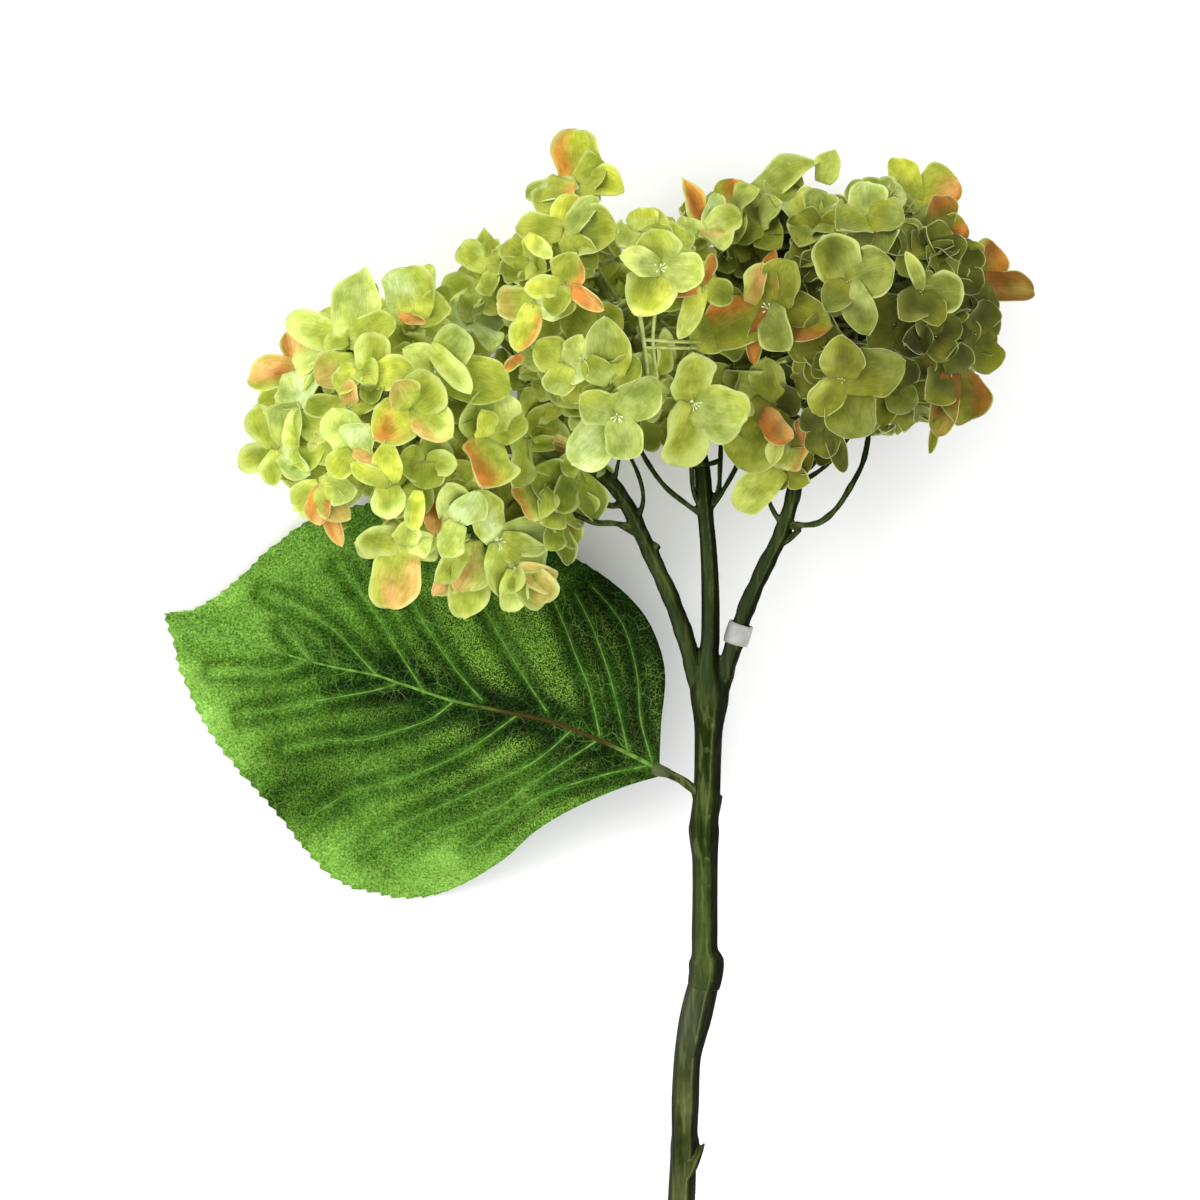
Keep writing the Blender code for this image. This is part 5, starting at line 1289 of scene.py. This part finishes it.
w0 = axis_w(190)
wc = axis_w(193)
parts = [
    ribbed(UPPER_STEM, phase=0.2, ridge=0.05),
    scale_on(63.5, 3.2, 1.0, 8.0, 2.4), scale_on(109.5, 3.0, 1.0, 7.0, 1.9),
    scale_on(112.0, 0.6, -1.0, 6.0, 1.5),
    # left branch
    arm([(1.8, 136, axis_w(136)), (-0.5, 144, axis_w(144)), (-2.2, 151, axis_w(151)),
         (-4.6, 159, axis_w(159)), (-7.9, 168, axis_w(168)), (-11.5, 176, axis_w(176)),
         (-16.2, 186, axis_w(186)), (-19.5, 193, w0), (-22.6, 198, w0 + 1), (-25.5, 201.5, w0 + 2),
         (-30, 205, 49), (-36, 207, 50)], 2.8, 1.9, 1.0, 0.05, 0.4, 20),
    arm([(-12.0, 183.5, axis_w(183)), (-13.6, 181.5, axis_w(181) + 1)], 1.5, 1.2),
    arm([(-16.6, 187, w0), (-20.5, 188.8, w0 + 1), (-24.6, 189.5, w0 + 1), (-29, 189.6, w0 + 2),
         (-33, 191, w0 + 3), (-37, 193, w0 + 3), (-41, 197, w0 + 3)], 0.95, 0.75, 0.8, 0.08, 1.0),
    arm([(-16.6, 185.6, w0), (-19, 187, w0), (-22.5, 189, w0 + 1)], 0.9, 0.8),
    arm([(-17.4, 190, w0), (-15.9, 196, w0 + 2), (-16.6, 201, w0 + 4), (-18.5, 206, w0 + 6),
         (-21, 210.5, w0 + 7)], 0.75, 0.6, 0.8, 0.06, 0.3),
    arm([(-24.0, 200, w0 + 1), (-23.4, 204, w0 + 4), (-22.2, 209.5, w0 + 5)], 0.7, 0.6, 0.8, 0.06),
    arm([(-21.0, 195, w0), (-25.5, 194.5, w0), (-29.5, 197.5, w0), (-28, 203, w0 + 1)], 0.95, 0.8, 0.8, 0.08),
    # centre branch
    arm([(1.0, 191.5, wc), (-4, 195, wc + 1), (-10, 200, wc + 3), (-15, 207, wc + 6),
         (-18, 213, wc + 8)], 0.85, 0.7, 0.8, 0.06, 2.0),
    arm([(2.4, 193, wc), (6, 198, wc + 2), (9, 203, wc + 4), (11.5, 208, wc + 4)], 0.9, 0.7, 0.8, 0.07),
    arm([(1.2, 192, wc), (-1.7, 198, wc + 3), (-2.3, 204, wc + 5), (-2.6, 209, wc + 7), (-3.0, 215, wc + 8)], 0.8, 0.7, 0.8, 0.06),
    arm([(3.0, 194, wc), (5.2, 199, wc + 1), (5.6, 205, wc + 1), (5.8, 211, wc + 2), (5.6, 217, wc + 4)], 0.8, 0.7, 0.8, 0.06),
    arm([(-6.0, 208, wc + 4), (-2.5, 206.4, wc + 5), (2.0, 206.0, wc + 5), (5.4, 207, wc + 4)], 0.9, 0.8, 0.8, 0.08),
    # right branch
    arm([(3.4, 136, axis_w(136)), (5.9, 144, axis_w(144)), (8.4, 152, axis_w(152)),
         (11.0, 160, axis_w(160)), (13.9, 168, axis_w(168)), (18, 177, axis_w(177)),
         (21.6, 184, axis_w(184)), (23.5, 188.5, w0), (26, 197, w0 + 1), (27, 203, w0 + 2),
         (29, 211, 49), (33, 218, 50)], 2.7, 1.9, 1.0, 0.06, 2.2, 20),
    arm([(23.4, 188.5, w0), (20, 194, w0 + 2), (18.5, 200, w0 + 3), (18, 206, w0 + 4)], 0.8, 0.65, 0.8, 0.07),
    arm([(23.0, 187.0, w0), (26.5, 189, w0 + 1), (30, 189, w0 + 1), (34, 190, w0 + 2),
         (38.5, 194, w0 + 2), (42, 199.5, w0 + 2), (45, 205, w0 + 2), (46.5, 210, w0 + 2),
         (47.6, 217, w0 + 1)], 0.95, 0.8, 0.8, 0.10, 0.8),
    arm([(22.4, 183.5, w0), (25.0, 185.0, w0), (28, 187.8, w0 + 1)], 0.9, 0.8),
    arm([(27.0, 203.5, w0 + 2), (30.5, 205, w0 + 2), (34, 209, w0 + 1), (38, 213, w0),
         (41, 216, w0 - 1)], 0.9, 0.7, 0.8, 0.08),
    arm([(26.9, 200.5, w0 + 2), (31, 202.6, w0 + 1), (36, 206.4, w0), (42, 214, w0 - 1)], 0.8, 0.7, 0.8, 0.08),
]
# inside the head the branches are a green core, darker than the pedicels
core = [arm(RAILS["left"], 1.7, 1.0, 1.2, 0.05, 0.0, 12), arm(RAILS["centre"], 1.7, 1.0, 1.2, 0.05, 1.0, 12),
        arm(RAILS["right"], 1.7, 1.0, 1.2, 0.05, 2.0, 12)]
obj = solid_from(core, "head_core", [CORE], 0.34)
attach(obj, "root")
BARS = [("centre", 0.62, [(-16.9, 248.6), (-15.8, 240.5), (-14.4, 229.5)]),
        ("centre", 0.50, [(-16.2, 240.9), (-7, 240.4), (3.6, 240.0)]),
        ("centre", 0.45, [(-15.9, 238.7), (-8, 238.6), (0.5, 238.4)]),
        ("centre", 0.55, [(3.4, 260), (3.9, 252), (4.2, 244)]),
        ("centre", 0.50, [(-12.5, 250), (-13.2, 240), (-12.0, 230)]),
        ("right", 0.55, [(62.5, 248), (56.5, 238), (52, 228)]),
        ("right", 0.50, [(53, 252.5), (57, 253.5), (61.5, 255)]),
        ("right", 0.50, [(54, 230), (59, 229.6), (64, 230)]),
        ("right", 0.50, [(10.5, 232), (17, 233.5), (24, 235)]),
        ("left", 0.55, [(-77, 230.5), (-72, 226), (-66, 222)])]
bars = Mesh()
for cluster, r, pts in BARS:
    line = spline([P(a, b, shell(cluster, a, b, 0.0)[0][2] - 3.2) for a, b in pts], 9)
    rod(bars, line, [r] * 9, 0, 8)
obj = bars.make("pedicel_bars", [PEDICEL])
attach(obj, "root")
obj = solid_from(parts, "stem_and_branches", [STEM], 0.34)
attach(obj, "root")
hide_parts("stem_upper", "branch_left", "branch_right")

# leaf stalk with the pale sleeve of the leaf on its end
wl = axis_w(116.5)
stalk = [arm([(0.6, 113.6, axis_w(113.6)), (-2.2, 115.4, wl), (-5.4, 117.7, wl - 1.2),
              (-10.0, 119.9, wl - 2.6), (-12.5, 121.0, wl - 3.4)], 1.35, 1.25, 0.8, 0.05, 0.0, 14)]
sleeve = [arm([(-8.3, 119.3, wl - 2.0), (-9.8, 119.8, wl - 2.2), (-11.3, 120.3, wl - 2.6),
               (-12.8, 120.9, wl - 3.2)], 1.25, 1.95, 0.6, 0.04, 0.0, 16)]
obj = solid_from(sleeve, "leaf_sleeve", [SLEEVE], 0.25)
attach(obj, "root")
obj = solid_from(stalk, "leaf_stalk", [STEM_LOW], 0.25)
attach(obj, "root")
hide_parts("petiole")

# the plain band
path = np.array([P(*p) for p in [(9.9, 155.8, axis_w(155.8)), (10.4, 157.6, axis_w(157.6)),
                                 (11.0, 159.6, axis_w(159.6)), (11.6, 161.4, axis_w(161.4))]])
path = spline(path, 7)
band = Mesh()
t, side, up = frames_along(path)
loops = []
rings = [(0, 3.1), (0, 3.45), (1, 3.62), (3, 3.66), (5, 3.60), (6, 3.45), (6, 3.1)]
ang = np.arange(40) * 2 * math.pi / 40
verts = np.vstack([path[k] + side[k] * (np.cos(ang) * r)[:, None] + up[k] * (np.sin(ang) * r)[:, None]
                   for k, r in rings])
faces = []
for a in range(len(rings)):
    b = (a + 1) % len(rings)
    for j in range(40):
        i = (j + 1) % 40
        faces.append((a * 40 + j, a * 40 + i, b * 40 + i, b * 40 + j))
band.add(verts, faces, 0)
obj = band.make("branch_band_ring", [BAND])
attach(obj, "root")
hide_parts("branch_band")

# ------------------------------------------------------- floor, light, camera
cam_at = to_world([VIEW_U, VIEW_V, VIEW_W + VIEW_D])
floor_mesh = bpy.data.meshes.new("floor")
z = 0.0
size = 3.0
floor_mesh.from_pydata([(-size, -size, z), (size, -size, z), (size, size, z), (-size, size, z)],
                       [], [(0, 1, 2, 3)])
floor = bpy.data.objects.new("floor", floor_mesh)
bpy.context.collection.objects.link(floor)
fm, fnt, fb = new_material("floor_pale", 0.9, 0.1)
fb.inputs["Base Color"].default_value = (0.93, 0.93, 0.93, 1)
floor_mesh.materials.append(fm)


def area(name, at, aim, size, power, colour=(1, 1, 1)):
    light = bpy.data.lights.new(name, "AREA")
    light.shape = "DISK"
    light.size = size
    light.energy = power
    light.color = colour
    o = bpy.data.objects.new(name, light)
    o.location = at
    o.rotation_euler = (Vector(aim) - Vector(at)).to_track_quat("-Z", "Y").to_euler()
    bpy.context.collection.objects.link(o)


head_at = to_world([-20, 200, 50])
area("key", (-1.15, 0.45, 1.35), head_at, 1.2, 14.0, (1.0, 0.99, 0.96))
area("fill", (0.9, -0.6, 1.5), head_at, 1.6, 7.0, (0.98, 0.99, 1.0))

world = bpy.data.worlds.new("studio")
world.use_nodes = True
bg = world.node_tree.nodes["Background"]
bg.inputs["Color"].default_value = (1.0, 1.0, 1.0, 1)
bg.inputs["Strength"].default_value = 1.20
bpy.context.scene.world = world

cam = bpy.data.cameras.new("camera")
cam.sensor_width = 36.0
cam.lens = 36.0 * VIEW_D / FRAME_MM
cam.clip_start = 0.05
cam.clip_end = 20.0
cam_obj = bpy.data.objects.new("camera", cam)
cam_obj.location = cam_at
bpy.context.collection.objects.link(cam_obj)
bpy.context.scene.camera = cam_obj
bpy.context.scene.view_settings.view_transform = "Standard"
